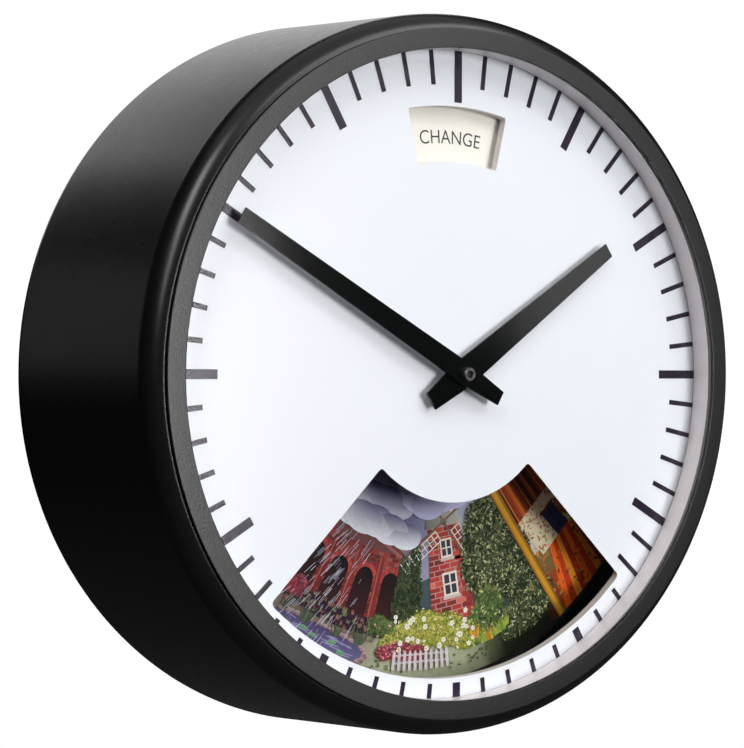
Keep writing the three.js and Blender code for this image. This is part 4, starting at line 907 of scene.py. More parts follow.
# %% Foil on the cells
FOIL = [(0.0, (0.60, 0.60, 0.60)), (0.03, (0.55, 0.33, 0.12)), (0.30, (0.03, 0.03, 0.035)),
        (0.96, (0.62, 0.62, 0.62))]
for cell in numbered("battery_cell", 3) + ["movement_cell"]:
    low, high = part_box(cell)
    size = high - low
    longest = max(range(3), key=lambda i: size[i])
    refinish(cell, banded("foil_" + cell, cell, longest, FOIL, 0.25, 0.6))

# %% [markdown]
# ## The back
# The cover is a moulded disc. Blocks and rods cut its slots, its keyhole, the seats of its screws
# and the door's opening, placed by the CAD nodes that use them. A groove runs round the rim and
# round the door, a dish lies round the keyhole, and a small bevel softens every edge.

# %% Sizes of the back, in mm
COVER_FRONT, GROOVE, OUTSIDE = -3.0, 0.5, 1
RIM_GROOVE, BUTTON_GROOVE = (146, 144.6), (6.8, 5.6)
DOOR_GAP, DOOR_RIM, DOOR_RIM_CORNER, DOOR_RIM_LAND = 0.4, 7, 6, 1.3
DISH_R, DISH_DEEP, DISH_Z = 18, 0.6, 119
KEY_HEAD_R, KEY_HEAD_Z = 5.5, 116
KEY_NECK_WIDE, KEY_NECK_TALL, KEY_NECK_Z = 5.6, 16.8, 121.4
VENTS, VENT_WIDE, VENT_TALL, VENT_X, VENT_TOP, VENT_PITCH = 6, 26, 3, 96, 20, 7
SEAT_R, SEAT_DEEP, SCREW_HOLE_R = 3.4, 1.6, 1.8
BUTTON_R, GUIDE_R, PIN_R = 3, 6, 0.8
SCREWS = numbered("cover_screw", 4)


# %% Grooves and the hinge bore
def ring_groove(piece, radii, x=0, z=0, sides=48):
    """Cuts a shallow groove between two radii."""
    outer, inner = radii
    cut_away(piece, hollow(rod(outer, -GROOVE, OUTSIDE, x, z, sides),
                           rod(inner, *THROUGH, x, z, sides)))


def frame_groove(piece, wide, tall, depth, x, z, corner, land):
    """Cuts a shallow groove as wide as land, just inside a rectangle with round corners."""
    cut_away(piece, hollow(bar(wide, tall, -depth, OUTSIDE, x, z, corner),
                           bar(wide - 2 * land, tall - 2 * land, *THROUGH, x, z, corner - land)))


def pin_bore(left, right):
    """A rod where the hinge pin runs, between two places in X."""
    low, high = box_of("hinge_pin")
    tool = rotated(rod(PIN_R, left, right, sides=16), -90, "Z")
    return moved(tool, 0, (low.y + high.y) / 2, middle_of("hinge_pin")[1])


# %% Back cover
def make_cover():
    low, high = box_of("access_door")
    wide, tall = high.x - low.x + 2 * DOOR_GAP, high.z - low.z + 2 * DOOR_GAP
    door_z = middle_of("access_door")[1]
    button = middle_of("set_button")
    pin_low, pin_high = box_of("hinge_pin")
    plate = rod(radius("back_cover"), COVER_FRONT, 0, sides=200)
    plate.name = "cover_plate"
    ring_groove(plate, RIM_GROOVE, sides=160)
    frame_groove(plate, wide + 2 * DOOR_RIM, tall + 2 * DOOR_RIM, GROOVE, 0, door_z,
                 DOOR_RIM_CORNER, DOOR_RIM_LAND)
    cut_away(plate, bar(wide, tall, *THROUGH, 0, door_z))
    cut_away(plate, rod(DISH_R, -DISH_DEEP, OUTSIDE, 0, DISH_Z, 72))
    cut_away(plate, rod(KEY_HEAD_R, *THROUGH, 0, KEY_HEAD_Z))
    cut_away(plate, bar(KEY_NECK_WIDE, KEY_NECK_TALL, *THROUGH, 0, KEY_NECK_Z, 2.79))
    for i in range(VENTS):
        z = VENT_TOP - VENT_PITCH * i
        cut_away(plate, bar(VENT_WIDE, VENT_TALL, *THROUGH, VENT_X, z, 1.4))
    for node in SCREWS:
        cut_away(plate, rod(SEAT_R, -SEAT_DEEP, OUTSIDE, *middle_of(node)))
        cut_away(plate, rod(SCREW_HOLE_R, *THROUGH, *middle_of(node), 32))
    cut_away(plate, rod(BUTTON_R, *THROUGH, *button, 32))
    ring_groove(plate, BUTTON_GROOVE, *button)
    cut_away(plate, pin_bore(pin_low.x - 0.1, pin_high.x + 0.1))
    soften(plate, 0.25)
    finish_piece(plate, "case", cover_grain, ["back_cover"])


make_cover()

# %% [markdown]
# ## Guide, screws, door and latch
# The set button slides in a short tube that is moulded on the cover. The cover's screws have
# flat round heads with a cross recess, each left at its own angle, as hands leave them. The
# door is a thin plate with a half round along its top, where the hinge pin runs, a pocket for
# the latch and a shallow frame groove. Four ridges on the latch give a fingertip its grip.

# %% Guide of the set button
button_x, button_z = middle_of("set_button")
guide = rod(GUIDE_R, plane("back_cover"), COVER_FRONT + 0.1, button_x, button_z)
guide.name = "button_guide"
cut_away(guide, rod(BUTTON_R, -40, 9, button_x, button_z, 32))
smooth(guide)
finish_piece(guide, "case", moulded_black)


# %% Cover screws with a cross recess
HEAD_THICK, SHANK_R = 1.4, 1.5
CROSS_LONG, CROSS_WIDE, CROSS_DEEP = 3.9, 0.95, 0.9


def make_screw(node, turn):
    low, high = box_of(node)
    x, z = middle_of(node)
    head = rod((high.x - low.x) / 2, high.y - HEAD_THICK, high.y, x, z)
    for angle in (turn, turn + 90):
        slot = bar(CROSS_LONG, CROSS_WIDE, high.y - CROSS_DEEP, high.y + 1)
        cut_away(head, moved(rotated(slot, angle), x, 0, z))
    soften(head, 0.16)
    shank = rod(SHANK_R, low.y, high.y - HEAD_THICK + 0.1, x, z, 24)
    smooth(shank)
    screw = joined([head, shank], node.replace("cover", "cross"))
    finish_piece(screw, "case", dark_zinc, [node])


for node, turn in zip(SCREWS, (12, 64, 37, 81)):
    make_screw(node, turn)


# %% Access door, with a half round along its top for the hinge
TOP_ROUND, LATCH_TRAVEL = 1.49, 3.0
POCKET_WIDE, POCKET_TALL, POCKET_DEEP = 10.6, 11.6, 1.4
STEM_SLOT_WIDE, STEM_SLOT_TALL = 5.4, 6.6
PANEL_WIDE, PANEL_TALL, PANEL_DEEP, PANEL_UP = 56, 74, 0.4, 5


def make_door():
    low, high = box_of("access_door")
    x, z = middle_of("access_door")
    latch_x, latch_z = middle_of("door_latch")
    pocket_z = latch_z - LATCH_TRAVEL / 2
    door = bar(high.x - low.x, high.z - low.z, low.y, high.y, x, z)
    door.name = "door_panel"
    bevel_edges(door, TOP_ROUND, 8, lambda a, b: (min(a.z, b.z) > (high.z - 0.1) * MM
                                                  and abs(a.x - b.x) > 0.01))
    outwards(door)
    cut_away(door, bar(POCKET_WIDE, POCKET_TALL, -POCKET_DEEP, OUTSIDE, latch_x, pocket_z))
    cut_away(door, bar(STEM_SLOT_WIDE, STEM_SLOT_TALL, *THROUGH, latch_x, pocket_z))
    frame_groove(door, PANEL_WIDE, PANEL_TALL, PANEL_DEEP, x, z + PANEL_UP, 4, 1.2)
    cut_away(door, pin_bore(low.x - 1, high.x + 1))
    soften(door, 0.2)
    finish_piece(door, "door", door_grain, ["access_door"])


make_door()


# %% Grip ridges on the latch
RIDGE_WIDE, RIDGE_TALL, RIDGE_PITCH = 8.4, 0.8, 1.6


def make_grip():
    outer = box_of("door_latch")[1].y
    x, z = middle_of("door_latch")
    ridges = [bar(RIDGE_WIDE, RIDGE_TALL, outer - 0.1, outer + 0.35, x, z + RIDGE_PITCH * i)
              for i in (-1.5, -0.5, 0.5, 1.5)]
    grip = joined(ridges, "latch_grip")
    soften(grip, 0.15)
    finish_piece(grip, "latch", button_plastic)


make_grip()

# %% [markdown]
# ## The picture on the weather disc
# A plain country picture turns with the disc: rain over a brick viaduct on one side, harvest sun
# on the other, and a mill, hedges and flowers for the changeable days between. Each motif stands
# with its foot outwards. The picture is thousands of flat dabs of ink in layers a few hundredths
# of a millimetre apart, far too many for operators, so it is written straight into one mesh.

# %% Ink on the disc
RIM, LAYER, STEP = 142.2, 0.03, 0.0005
dice = random.Random(11)
ink_points, ink_faces, ink_colours = [], [], []


def ink(outline, layer, colour):
    """Adds one flat shape. outline holds (x, z) in mm, and colour is one or one per corner.

    Two dabs on the same plane would shade each other, so each also gets a small step of its own.
    """
    colours = colour if isinstance(colour, list) else [colour] * len(outline)
    ring = list(zip(outline, outline[1:] + outline[:1]))
    if sum(a[0] * b[1] - b[0] * a[1] for a, b in ring) < 0:
        outline, colours = outline[::-1], colours[::-1]
    start = len(ink_points)
    depth = DISC_FRONT - INK_LIFT - layer * LAYER - len(ink_faces) % 55 * STEP
    for x, z in outline:
        keep = min(1, RIM / max(math.hypot(x, z), 1))
        ink_points.append((x * keep * MM, depth * MM, z * keep * MM))
    ink_faces.append(list(range(start, start + len(outline))))
    ink_colours.extend(colours)


def blend(a, b, share):
    return tuple(p + (q - p) * share for p, q in zip(a, b))


def along_stops(stops, value):
    """The colour at a value between the stops, which are (value, colour) in rising order."""
    for (a, first), (b, second) in zip(stops, stops[1:]):
        if value <= b:
            return blend(first, second, max(0, (value - a) / (b - a)))
    return stops[-1][1]


def ring_spot(angle, r):
    t = math.radians(angle)
    return (r * math.sin(t), r * math.cos(t))


def upright(angle, r):
    """Gives a function that puts (across, up) in mm at a place on the disc, foot outwards."""
    out_x, out_z = ring_spot(angle, 1)

    def at(across, up):
        return (out_x * (r - up) - out_z * across, out_z * (r - up) + out_x * across)
    return at


def curved(angle, r):
    """The same, but across runs round the disc."""
    def at(across, up):
        return ring_spot(angle - math.degrees(across / r), r - up)
    return at


def shade(colour, spread=0.18):
    """A little lighter or darker at random."""
    k = 1 + dice.uniform(-spread, spread)
    return tuple(min(1, c * k) for c in colour)


def round_dab(at, across, up, wide, tall, layer, low, high, sides=18):
    """An ellipse of ink, shaded from its foot to its top."""
    for i in range(sides):
        a, b = 2 * math.pi * i / sides, 2 * math.pi * (i + 1) / sides
        rim = [(math.cos(t), math.sin(t)) for t in (a, b)]
        corners = [at(across, up)] + [at(across + wide * c, up + tall * s) for c, s in rim]
        tones = [blend(low, high, 0.5)] + [blend(low, high, (s + 1) / 2) for c, s in rim]
        ink(corners, layer, tones)


def block(at, left, right, low, high, layer, colour):
    ink([at(left, low), at(right, low), at(right, high), at(left, high)], layer, colour)


# %% [markdown]
# ### Sky and ground
# The ground of the picture is a grid of small cells with a colour at each corner, so the tones
# run into each other. The colours change with the angle, which is the weather, and with the
# distance from the middle, which is the height.

# %% Sky and ground
SKY = [(76, (0.80, 0.50, 0.16)), (110, (0.86, 0.70, 0.42)), (143, (0.80, 0.72, 0.52)),
       (147, (0.44, 0.50, 0.60)), (172, (0.30, 0.33, 0.50)), (190, (0.10, 0.09, 0.22)),
       (225, (0.04, 0.035, 0.18)), (284, (0.02, 0.02, 0.10))]
GROUND = [(76, (0.60, 0.22, 0.03)), (143, (0.40, 0.06, 0.01)), (147, (0.008, 0.010, 0.006)),
          (160, (0.02, 0.025, 0.012)), (171, (0.30, 0.34, 0.18)), (190, (0.34, 0.36, 0.22)),
          (200, (0.16, 0.10, 0.09)), (284, (0.05, 0.03, 0.04))]


def horizon(angle):
    return 112 + 2.5 * math.sin(math.radians(angle * 7)) + 1.5 * math.sin(math.radians(angle * 17))


FIRST_ANGLE, CELL_TURN, COLUMNS = 76, 2, 104
INNER_R, CELL_DEEP, ROWS = 50, 3.85, 24
for i in range(COLUMNS):
    left, right = FIRST_ANGLE + CELL_TURN * i, FIRST_ANGLE + CELL_TURN * (i + 1)
    for j in range(ROWS):
        near = INNER_R + CELL_DEEP * j
        far = min(RIM, near + CELL_DEEP)
        cell = [(left, near), (right, near), (right, far), (left, far)]
        tones = []
        for angle, r in cell:
            up_there = along_stops(SKY, angle)
            down_here = along_stops(GROUND, angle)
            haze = min(1, max(0, (r - 62) / 50)) * 0.5
            tint = blend(up_there, blend(up_there, (0.75, 0.66, 0.68), 0.6), haze)
            lit = max(0, (r - 112) / 40) * (1 if angle > 165 else 0)
            earth = blend(down_here, blend(down_here, (1, 1, 0.8), 0.25), lit)
            tones.append(tint if r < horizon(angle) else earth)
        ink([ring_spot(a, r) for a, r in cell], 0, tones)


HILL_FOOT = 122


def hill(first, last, top, swell, layer, colour):
    """A long low rise between two angles."""
    count = int((last - first) / 1.5)
    for i in range(count):
        a, b = (first + (last - first) * k / count for k in (i, i + 1))
        heights = [top + swell * math.cos(2 * math.pi * (t - first) / (last - first))
                   for t in (a, b)]
        corners = [ring_spot(a, heights[0]), ring_spot(b, heights[1]),
                   ring_spot(b, HILL_FOOT), ring_spot(a, HILL_FOOT)]
        dark = tuple(c * 0.75 for c in colour)
        ink(corners, layer, [colour, colour, dark, dark])


hill(76, 118, 101, 4, 1, (0.42, 0.30, 0.12))
hill(96, 145, 104, 5, 2, (0.30, 0.17, 0.06))
hill(145, 200, 99, 6, 1, (0.06, 0.09, 0.10))
hill(186, 246, 97, 6, 2, (0.04, 0.015, 0.04))
hill(228, 284, 100, 5, 1, (0.04, 0.04, 0.09))


# %% [markdown]
# ### Brickwork
# A wall is a mortar ground with a course of bricks at each height, and every second course is
# shifted by half a brick. Each brick gets a tone of its own, because even brick looks painted on.

# %% Brickwork
BRICKS = [(0.42, 0.045, 0.035), (0.55, 0.075, 0.05), (0.28, 0.035, 0.03), (0.60, 0.14, 0.10),
          (0.20, 0.03, 0.03), (0.48, 0.05, 0.04)]


def brickwork(at, left, right, low, high, layer, size, mortar, dim=1.0):
    """left and right are functions of the height, so that a wall may taper."""
    steps = 10
    for i in range(steps):
        a, b = (low + (high - low) * k / steps for k in (i, i + 1))
        ink([at(left(a), a), at(right(a), a), at(right(b), b), at(left(b), b)], layer, mortar)
    rows = int((high - low) / size[1])
    for row in range(rows):
        foot = low + row * size[1]
        start, stop = left(foot), right(foot)
        x = start - (size[0] / 2 if row % 2 else 0)
        while x < stop:
            a, b = max(start, x), min(stop, x + size[0] * 0.9)
            if b - a > size[0] * 0.2:
                tone = shade(tuple(c * dim for c in dice.choice(BRICKS)), 0.2)
                block(at, a, b, foot, foot + size[1] * 0.8, layer + 1, tone)
            x += size[0]


ARCH_STEPS = 14


def arch(at, middle, half, low, spring, layer):
    """A dark round-headed opening with a ring of bricks about it."""
    turns = [math.pi * i / ARCH_STEPS for i in range(ARCH_STEPS + 1)]
    head = [(middle + half * math.cos(t), spring + half * math.sin(t)) for t in turns]
    outline = [(middle + half, low)] + head + [(middle - half, low)]
    tones = [blend((0.04, 0.008, 0.010), (0.004, 0.001, 0.002), (v - low) / (spring - low + half))
             for u, v in outline]
    ink([at(u, v) for u, v in outline], layer, tones)
    for i in range(ARCH_STEPS):
        a, b = math.pi * (i + 0.08) / ARCH_STEPS, math.pi * (i + 0.92) / ARCH_STEPS
        wedge = [(a, half), (b, half), (b, half + 2.2), (a, half + 2.2)]
        corners = [at(middle + r * math.cos(t), spring + r * math.sin(t)) for t, r in wedge]
        ink(corners, layer + 1, shade((0.46, 0.06, 0.05), 0.25))


# %% Viaduct
VIADUCT = curved(214, 114)
brickwork(VIADUCT, lambda v: -66, lambda v: 52, 0, 31, 3, (4.4, 1.9), (0.17, 0.06, 0.06), 0.62)
for i in range(7):
    arch(VIADUCT, -57 + 17 * i, 5.6, 0, 16, 5)
block(VIADUCT, -66, 52, 27.6, 29.2, 5, (0.34, 0.13, 0.12))
block(VIADUCT, -66, 52, 31, 32.6, 5, (0.42, 0.20, 0.19))
for i in range(7):
    block(VIADUCT, -50.2 + 17 * i, -46.8 + 17 * i, 0, 27.5, 7, shade((0.22, 0.025, 0.022)))
    block(VIADUCT, -49.6 + 17 * i, -48.9 + 17 * i, 0, 27.5, 8, (0.42, 0.12, 0.10))

# %% Brick mill with lattice sails
MILL = upright(171.5, 121)
MILL_HALF, MILL_TALL, TAPER, HUB = 13.5, 50, 0.09, 52
WINDOW_PAINT, SAIL_PAINT = (0.80, 0.74, 0.66), (0.86, 0.80, 0.70)
brickwork(MILL, lambda v: -MILL_HALF + v * TAPER, lambda v: MILL_HALF - v * TAPER, 0, MILL_TALL, 9,
          (6.0, 2.5), (0.50, 0.26, 0.24))
for i in range(9):
    foot, top = 5.5 * i, 5.5 * (i + 1)
    ink([MILL(6.5 - 5 * i * TAPER, foot), MILL(MILL_HALF - foot * TAPER, foot),
         MILL(MILL_HALF - top * TAPER, top), MILL(9.5 - top * TAPER, top)], 9.5,
        (0.30, 0.05, 0.05))
for low, size in ((17, 1.0), (35, 0.8)):
    block(MILL, -4.2 * size, 4.2 * size, low, low + 11 * size, 11, WINDOW_PAINT)
    block(MILL, -3.2 * size, 3.2 * size, low + 1, low + 10 * size, 12, (0.05, 0.045, 0.06))
    block(MILL, -0.4, 0.4, low + 1, low + 10 * size, 13, WINDOW_PAINT)
    block(MILL, -3.2 * size, 3.2 * size, low + 5.2 * size, low + 6 * size, 13, WINDOW_PAINT)
    block(MILL, -5 * size, 5 * size, low - 1.4, low, 13, (0.62, 0.52, 0.48))
cap_turns = [i / 16 for i in range(17)]
ink([MILL(10.5 * math.cos(math.pi * t), MILL_TALL + 8.5 * math.sin(math.pi * t))
     for t in cap_turns], 12,
    [blend((0.52, 0.50, 0.44), (0.16, 0.15, 0.15), t) for t in cap_turns])


def sail(turn):
    """One sail of the mill: a stock with a cream lattice on one side of it."""
    c, s = math.cos(math.radians(turn)), math.sin(math.radians(turn))

    def at(along, side):
        return MILL(along * c - side * s, HUB + along * s + side * c)

    block(at, 0, 31, -0.5, 0.5, 15, (0.20, 0.12, 0.08))
    for low, high in ((0.8, 1.3), (6.2, 6.7), (3.4, 3.8)):
        block(at, 6, 30.5, low, high, 15, SAIL_PAINT)
    for i in range(9):
        block(at, 6 + 3 * i, 6.5 + 3 * i, 0.8, 6.7, 16, SAIL_PAINT)


for turn in (28, 118, 208, 298):
    sail(turn)
round_dab(MILL, 0, HUB, 1.8, 1.8, 17, (0.12, 0.08, 0.06), (0.30, 0.22, 0.16))


# %% [markdown]
# ### Plants
# A bush is a few soft ellipses under hundreds of small leaves, darker below and lighter above.
# A palette per plant and a little chance in each leaf keep it from looking like a stamp. The
# dice always start from the same number, so the picture comes out the same each time.

# %% Leaves, flowers and grass
HEDGE = [(0.008, 0.014, 0.007), (0.02, 0.036, 0.013), (0.05, 0.072, 0.025), (0.11, 0.13, 0.05),
         (0.012, 0.018, 0.010), (0.21, 0.22, 0.09)]
OAK = [(0.03, 0.05, 0.015), (0.06, 0.10, 0.03), (0.10, 0.16, 0.04), (0.16, 0.20, 0.06)]
LIME = [(0.30, 0.30, 0.04), (0.42, 0.40, 0.06), (0.20, 0.24, 0.03), (0.55, 0.50, 0.12),
        (0.10, 0.14, 0.02)]
HEATHER = [(0.22, 0.03, 0.05), (0.34, 0.04, 0.06), (0.12, 0.03, 0.04), (0.42, 0.10, 0.12)]
AUTUMN = [(0.36, 0.12, 0.02), (0.52, 0.20, 0.03), (0.22, 0.07, 0.02), (0.62, 0.30, 0.06)]


def leaf(at, u, v, size, layer, colour):
    t = dice.uniform(0, math.pi)
    long, wide = (size * math.cos(t), size * math.sin(t)), 0.45
    corners = [(u + long[0], v + long[1]), (u - long[1] * wide, v + long[0] * wide),
               (u - long[0], v - long[1]), (u + long[1] * wide, v - long[0] * wide)]
    ink([at(a, b) for a, b in corners], layer, colour)


def bush(at, blobs, palette, layer, count, size, specks=None, share=0.0):
    """blobs are (across, up, radius across, radius up). Leaves thin out past their rims."""
    for u, v, wide, tall in blobs:
        round_dab(at, u, v, wide * 0.93, tall * 0.93, layer, palette[0], palette[1], 14)
    for i in range(count):
        u, v, wide, tall = dice.choice(blobs)
        t, reach = dice.uniform(0, 2 * math.pi), math.sqrt(dice.uniform(0, 1.12))
        across, up = u + wide * reach * math.cos(t), v + tall * reach * math.sin(t)
        light = 0.5 + 0.5 * math.sin(t) * reach
        tone = palette[min(len(palette) - 1, int(dice.uniform(0, 0.6) * len(palette)
                                                 + light * 0.4 * len(palette)))]
        if specks and dice.random() < share:
            tone = dice.choice(specks)
        leaf(at, across, up, size * dice.uniform(0.6, 1.2), layer + 1 + i % 3, shade(tone, 0.25))


def flower(at, u, v, size, layer, petal, eye):
    for i in range(5):
        t = 2 * math.pi * i / 5 + u
        round_dab(at, u + size * 0.6 * math.cos(t), v + size * 0.6 * math.sin(t),
                  size * 0.48, size * 0.48, layer, petal, petal, 6)
    round_dab(at, u, v, size * 0.3, size * 0.3, layer + 1, eye, eye, 6)


def tuft(at, u, v, height, layer, colour, blades=14):
    for i in range(blades):
        lean = dice.uniform(-0.6, 0.6)
        tip = (u + lean * height, v + height * dice.uniform(0.6, 1.0))
        foot = u + lean * height * 0.3
        ink([at(foot - 0.45, v), at(foot + 0.45, v), at(*tip)], layer, shade(colour, 0.35))


# %% Hedge and oaks beside the mill
oak = upright(155, 124)
block(oak, -2, 2.4, 0, 26, 18, (0.10, 0.06, 0.04))
bush(oak, [(0, 36, 16, 17), (-9, 27, 12, 12), (9, 28, 12, 13), (3, 48, 12, 11), (-2, 18, 14, 10)],
     HEDGE, 18, 3000, 1.2, [(0.50, 0.50, 0.28), (0.32, 0.34, 0.17)], 0.15)
bush(upright(151.5, 131), [(0, 4, 12, 9), (9, 6, 9, 9), (-11, 3, 10, 8), (2, 14, 10, 9)],
     HEDGE, 20, 1600, 1.2, [(0.44, 0.44, 0.24)], 0.12)
bush(upright(164, 127), [(0, 6, 9, 9), (6, 12, 8, 9), (-6, 3, 8, 6)], OAK, 21, 620, 1.4,
     [(0.50, 0.52, 0.20)], 0.12)

# %% Cypresses between the viaduct and the mill
for angle, tall in ((183.5, 1.0), (187.5, 0.8)):
    bush(upright(angle, 123), [(0, 8 * tall, 5, 9), (0, 22 * tall, 4.4, 13), (0, 37 * tall, 2.8, 9)],
         HEDGE[:4], 14, 800, 1.0)

# %% Garden below the mill
garden = upright(178, 127)
bush(garden, [(-14, 7, 10, 8), (-4, 10, 10, 9), (8, 8, 11, 8), (18, 5, 9, 7), (-22, 4, 8, 6)],
     LIME, 22, 2300, 1.0, [(0.80, 0.78, 0.55), (0.62, 0.60, 0.20)], 0.08)
bush(upright(186, 129), [(0, 2, 8, 4.5), (8, 1, 7, 4), (-8, 1, 6, 3.5)], HEATHER, 26, 700, 0.85,
     [(0.70, 0.25, 0.28)], 0.10)
for i in range(26):
    flower(garden, dice.uniform(-24, 26), dice.uniform(0, 17), dice.uniform(0.9, 1.5), 29,
           (0.86, 0.84, 0.74), (0.75, 0.52, 0.08))
for i in range(9):
    tuft(upright(168 - i * 1.2, 129 + dice.uniform(-2, 2)), 0, 0, dice.uniform(5, 8), 27,
         dice.choice([(0.20, 0.32, 0.04), (0.60, 0.30, 0.03), (0.30, 0.36, 0.05)]))
for i in range(46):
    angle = dice.uniform(158, 196)
    tuft(upright(angle, 132 + dice.uniform(0, 6)), 0, 0, 1.4, 26, (0.08, 0.12, 0.03), 5)

# %% Picket fence
fence = curved(181, 136)
for low, high in ((2.6, 3.4), (6.0, 6.8)):
    block(fence, -17, 16, low, high, 30, (0.60, 0.53, 0.56))
for i in range(11):
    u = -16 + 3.1 * i
    ink([fence(u - 0.8, 0), fence(u + 0.8, 0), fence(u + 0.8, 8), fence(u, 9.4),
         fence(u - 0.8, 8)], 31, shade((0.66, 0.58, 0.61), 0.06))

# %% Pond, stones and reeds
pond = curved(207, 131)
round_dab(pond, 0, 0, 27, 6.5, 18, (0.16, 0.15, 0.30), (0.07, 0.05, 0.14), 40)
for i in range(34):
    round_dab(pond, dice.uniform(-22, 22), dice.uniform(-4, 4), dice.uniform(1.5, 5), 0.28, 19,
              (0.42, 0.38, 0.58), (0.26, 0.22, 0.44), 8)
for u, v in ((-14, -2), (-8, 2), (3, -3), (9, 1.5), (15, -1.5), (-2, 1)):
    round_dab(pond, u, v, 2.3, 0.9, 21, (0.10, 0.30, 0.10), (0.18, 0.46, 0.20), 10)
for i in range(70):
    side = dice.choice([-1, 1])
    t = dice.uniform(0, math.pi)
    round_dab(pond, 28 * math.cos(t * side), 6.8 * math.sin(t * side), dice.uniform(1.0, 2.2),
              dice.uniform(0.7, 1.3), 22, (0.20, 0.10, 0.10), shade((0.50, 0.36, 0.36), 0.3), 8)
for angle, size in ((197, 10), (203, 8), (211, 11), (217, 9), (224, 10), (233, 9)):
    tuft(curved(angle, 127), 0, 0, size, 23, (0.07, 0.10, 0.06), 16)
for i in range(240):
    tuft(curved(dice.uniform(192, 240), dice.uniform(114, 126)), 0, 0, dice.uniform(1.4, 3), 17,
         dice.choice([(0.16, 0.17, 0.08), (0.30, 0.12, 0.10), (0.22, 0.20, 0.14)]), 4)
bush(curved(193, 121), [(0, 4, 6, 5), (5, 3, 5, 4)], OAK, 19, 260, 1.2, [(0.7, 0.3, 0.3)], 0.08)
bush(curved(219, 120), [(0, 3, 7, 4), (6, 5, 5, 5)], HEATHER, 19, 240, 1.1)


# %% [markdown]
# ### Clouds, rain and harvest
# Clouds are rows of round puffs, each row paler along its foot. Rain is thin slanted strokes over
# all that lies behind it. A gilt bar parts the wet side from the harvest side with its barn,
# furrows, stacks and low sun.

# %% Clouds and rain
def cloud_bank(first, last, top, depth, count, layer, low, high):
    """Heaps of puffs in three rows. The lowest row is in front and pale along its foot."""
    for k in range(3):
        for i in range(count):
            r = top + depth * k / 2 + dice.uniform(-2.5, 2.5)
            angle = first + (last - first) * (i + 0.5 * (k % 2)) / (count - 1)
            size = dice.uniform(6.5, 9.5)
            foot = blend(high, low, (0.30, 0.62, 1)[k])
            round_dab(curved(angle + dice.uniform(-1.5, 1.5), r), 0, 0, size * 1.15, size * 0.8,
                      layer + k + 0.2 * (i % 4), foot, blend(high, foot, 0.08), 22)


cloud_bank(189, 283, 53, 21, 15, 33, (0.92, 0.93, 1.0), (0.018, 0.013, 0.14))
cloud_bank(164, 184, 50, 8, 4, 33, (0.55, 0.56, 0.78), (0.04, 0.035, 0.16))
cloud_bank(98, 120, 66, 6, 5, 3, (0.92, 0.84, 0.70), (0.80, 0.66, 0.44))


def rain(first, last, near, far, count):
    for i in range(count):
        at = curved(dice.uniform(first, last), dice.uniform(near, far))
        length = dice.uniform(2, 8)
        tone = shade(dice.choice([(0.62, 0.60, 0.70), (0.40, 0.38, 0.48), (0.80, 0.78, 0.86)]))
        half = dice.uniform(0.06, 0.15)
        ink([at(-half, 0), at(half, 0), at(half + length * 0.34, length),
             at(-half + length * 0.34, length)], 37, tone)


rain(206, 283, 82, 141, 640)
rain(199, 212, 88, 130, 40)

# %% Divider and harvest side
divider = upright(145, 142)
DIVIDER_TOP = 92
for left, right, layer, colour in ((-2.6, 2.6, 32, (0.48, 0.20, 0.012)),
                                   (-1.2, 1.0, 33, (0.68, 0.34, 0.025)),
                                   (-2.6, -2.2, 34, (0.10, 0.04, 0.02)),
                                   (2.2, 2.6, 34, (0.12, 0.05, 0.02)),
                                   (1.3, 1.6, 34, (0.20, 0.09, 0.02))):
    block(divider, left, right, 0, DIVIDER_TOP, layer, colour)
for i in range(150):
    leaf(curved(dice.uniform(112, 143), dice.uniform(62, 108)), 0, 0, dice.uniform(0.6, 1.2), 8,
         shade((0.62, 0.26, 0.16), 0.3))
barn = upright(134, 111)
block(barn, -14, 20, 0, 24, 8, (0.88, 0.78, 0.52))
for i in range(130):
    leaf(barn, dice.uniform(-13, 19), dice.uniform(1, 24), dice.uniform(0.7, 1.6), 9,
         shade(dice.choice([(0.66, 0.16, 0.10), (0.72, 0.34, 0.22), (0.34, 0.30, 0.12)]), 0.2))
block(barn, -1, 8, 0, 14, 10, (0.035, 0.04, 0.13))
block(barn, 3.2, 3.8, 0, 14, 11, (0.015, 0.015, 0.06))
block(barn, -2, 9, 14, 15.4, 11, (0.16, 0.06, 0.02))
for i in range(26):
    foot = -18 + 1.7 * i
    top = foot * 0.86 + 3
    tone = shade(dice.choice([(0.26, 0.035, 0.010), (0.60, 0.10, 0.014), (0.10, 0.016, 0.007)]), 0.2)
    ink([barn(foot, 22), barn(foot + 1.7, 22), barn(top + 1.5, 50), barn(top, 50)], 12, tone)
    if i % 3 == 0:
        ink([barn(foot, 22), barn(foot + 0.4, 22), barn(top + 0.4, 50), barn(top, 50)], 13,
            (0.95, 0.34, 0.03))
furrows = curved(112, 142)
FURROW = [(1.0, 0.16, 0.012), (0.70, 0.05, 0.008), (1.0, 0.34, 0.02), (0.45, 0.03, 0.008)]
for i in range(36):
    left, right = -78 + 4.4 * i, -78 + 4.4 * (i + 1)
    tone = FURROW[i % 4]
    ink([furrows(left, 0), furrows(right, 0), furrows(right * 0.72 - 6, 36),
         furrows(left * 0.72 - 6, 36)], 4, [tone, shade(tone), shade(tone, 0.4), tone])
for i in range(300):
    leaf(curved(dice.uniform(78, 143), dice.uniform(108, 141)), 0, 0, dice.uniform(0.8, 2.2), 6,
         shade(dice.choice(AUTUMN), 0.3))
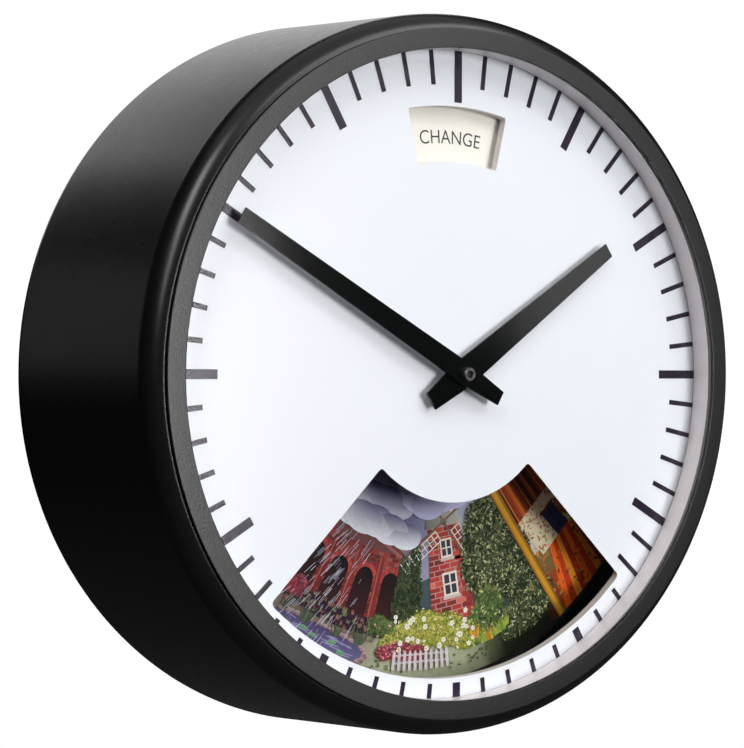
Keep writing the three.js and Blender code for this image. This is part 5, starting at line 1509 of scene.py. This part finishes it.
for angle, r, size in ((84, 118, 7), (96, 124, 9), (107, 114, 6), (118, 129, 8)):
    stack = upright(angle, r)
    round_dab(stack, 0, size * 0.3, size, size * 0.9, 9, (0.30, 0.16, 0.03), (0.80, 0.52, 0.12))
    for i in range(90):
        leaf(stack, dice.uniform(-0.9, 0.9) * size, dice.uniform(-0.3, 1) * size, 1.2, 10,
             shade((0.66, 0.42, 0.10), 0.4))
round_dab(upright(103, 74), 0, 0, 13, 13, 7, (0.92, 0.55, 0.10), (0.96, 0.76, 0.24), 40)
for angle in (88, 113, 126):
    bush(upright(angle, 112), [(0, 8, 7, 8), (4, 13, 5, 6)], AUTUMN, 11, 220, 1.2)

# %% [markdown]
# ### The finished print
# All the dabs become one mesh, and each corner keeps its colour in an attribute that the ink's
# finish reads. The ink itself is nearly matt, with a fine print grain.

# %% One mesh for the picture
picture_mesh = bpy.data.meshes.new("weather_picture")
picture_mesh.from_pydata(ink_points, [], ink_faces)
tones = picture_mesh.color_attributes.new("ink", "FLOAT_COLOR", "CORNER")
flat = np.ones((len(ink_colours), 4), dtype=np.float32)
flat[:, :3] = ink_colours
tones.data.foreach_set("color", flat.ravel())
picture_mesh.update()
picture = bpy.data.objects.new("weather_picture", picture_mesh)
bpy.context.scene.collection.objects.link(picture)


def picture_ink():
    """The dab's own colour with a fine print grain."""
    made = finish("picture_ink", (0.5, 0.5, 0.5), 0.5, grain=(0.6, 0.004), mottle=(0.9, 0.16),
                  Specular_IOR_Level=0.12)
    nodes, links = made.node_tree.nodes, made.node_tree.links
    own = nodes.new("ShaderNodeAttribute")
    own.attribute_name = "ink"
    grain = next(n for n in nodes if n.bl_idname == "ShaderNodeValToRGB")
    grain.color_ramp.elements[0].color = (0.86, 0.86, 0.87, 1)
    grain.color_ramp.elements[1].color = (1.0, 1.0, 1.0, 1)
    tint = nodes.new("ShaderNodeMix")
    tint.data_type = "RGBA"
    tint.blend_type = "MULTIPLY"
    tint.inputs[0].default_value = 1
    links.new(own.outputs["Color"], tint.inputs[6])
    links.new(grain.outputs["Color"], tint.inputs[7])
    links.new(tint.outputs[2], nodes["Principled BSDF"].inputs["Base Color"])
    return made


finish_piece(picture, "weather", picture_ink())
print("dabs of ink:", len(ink_faces))
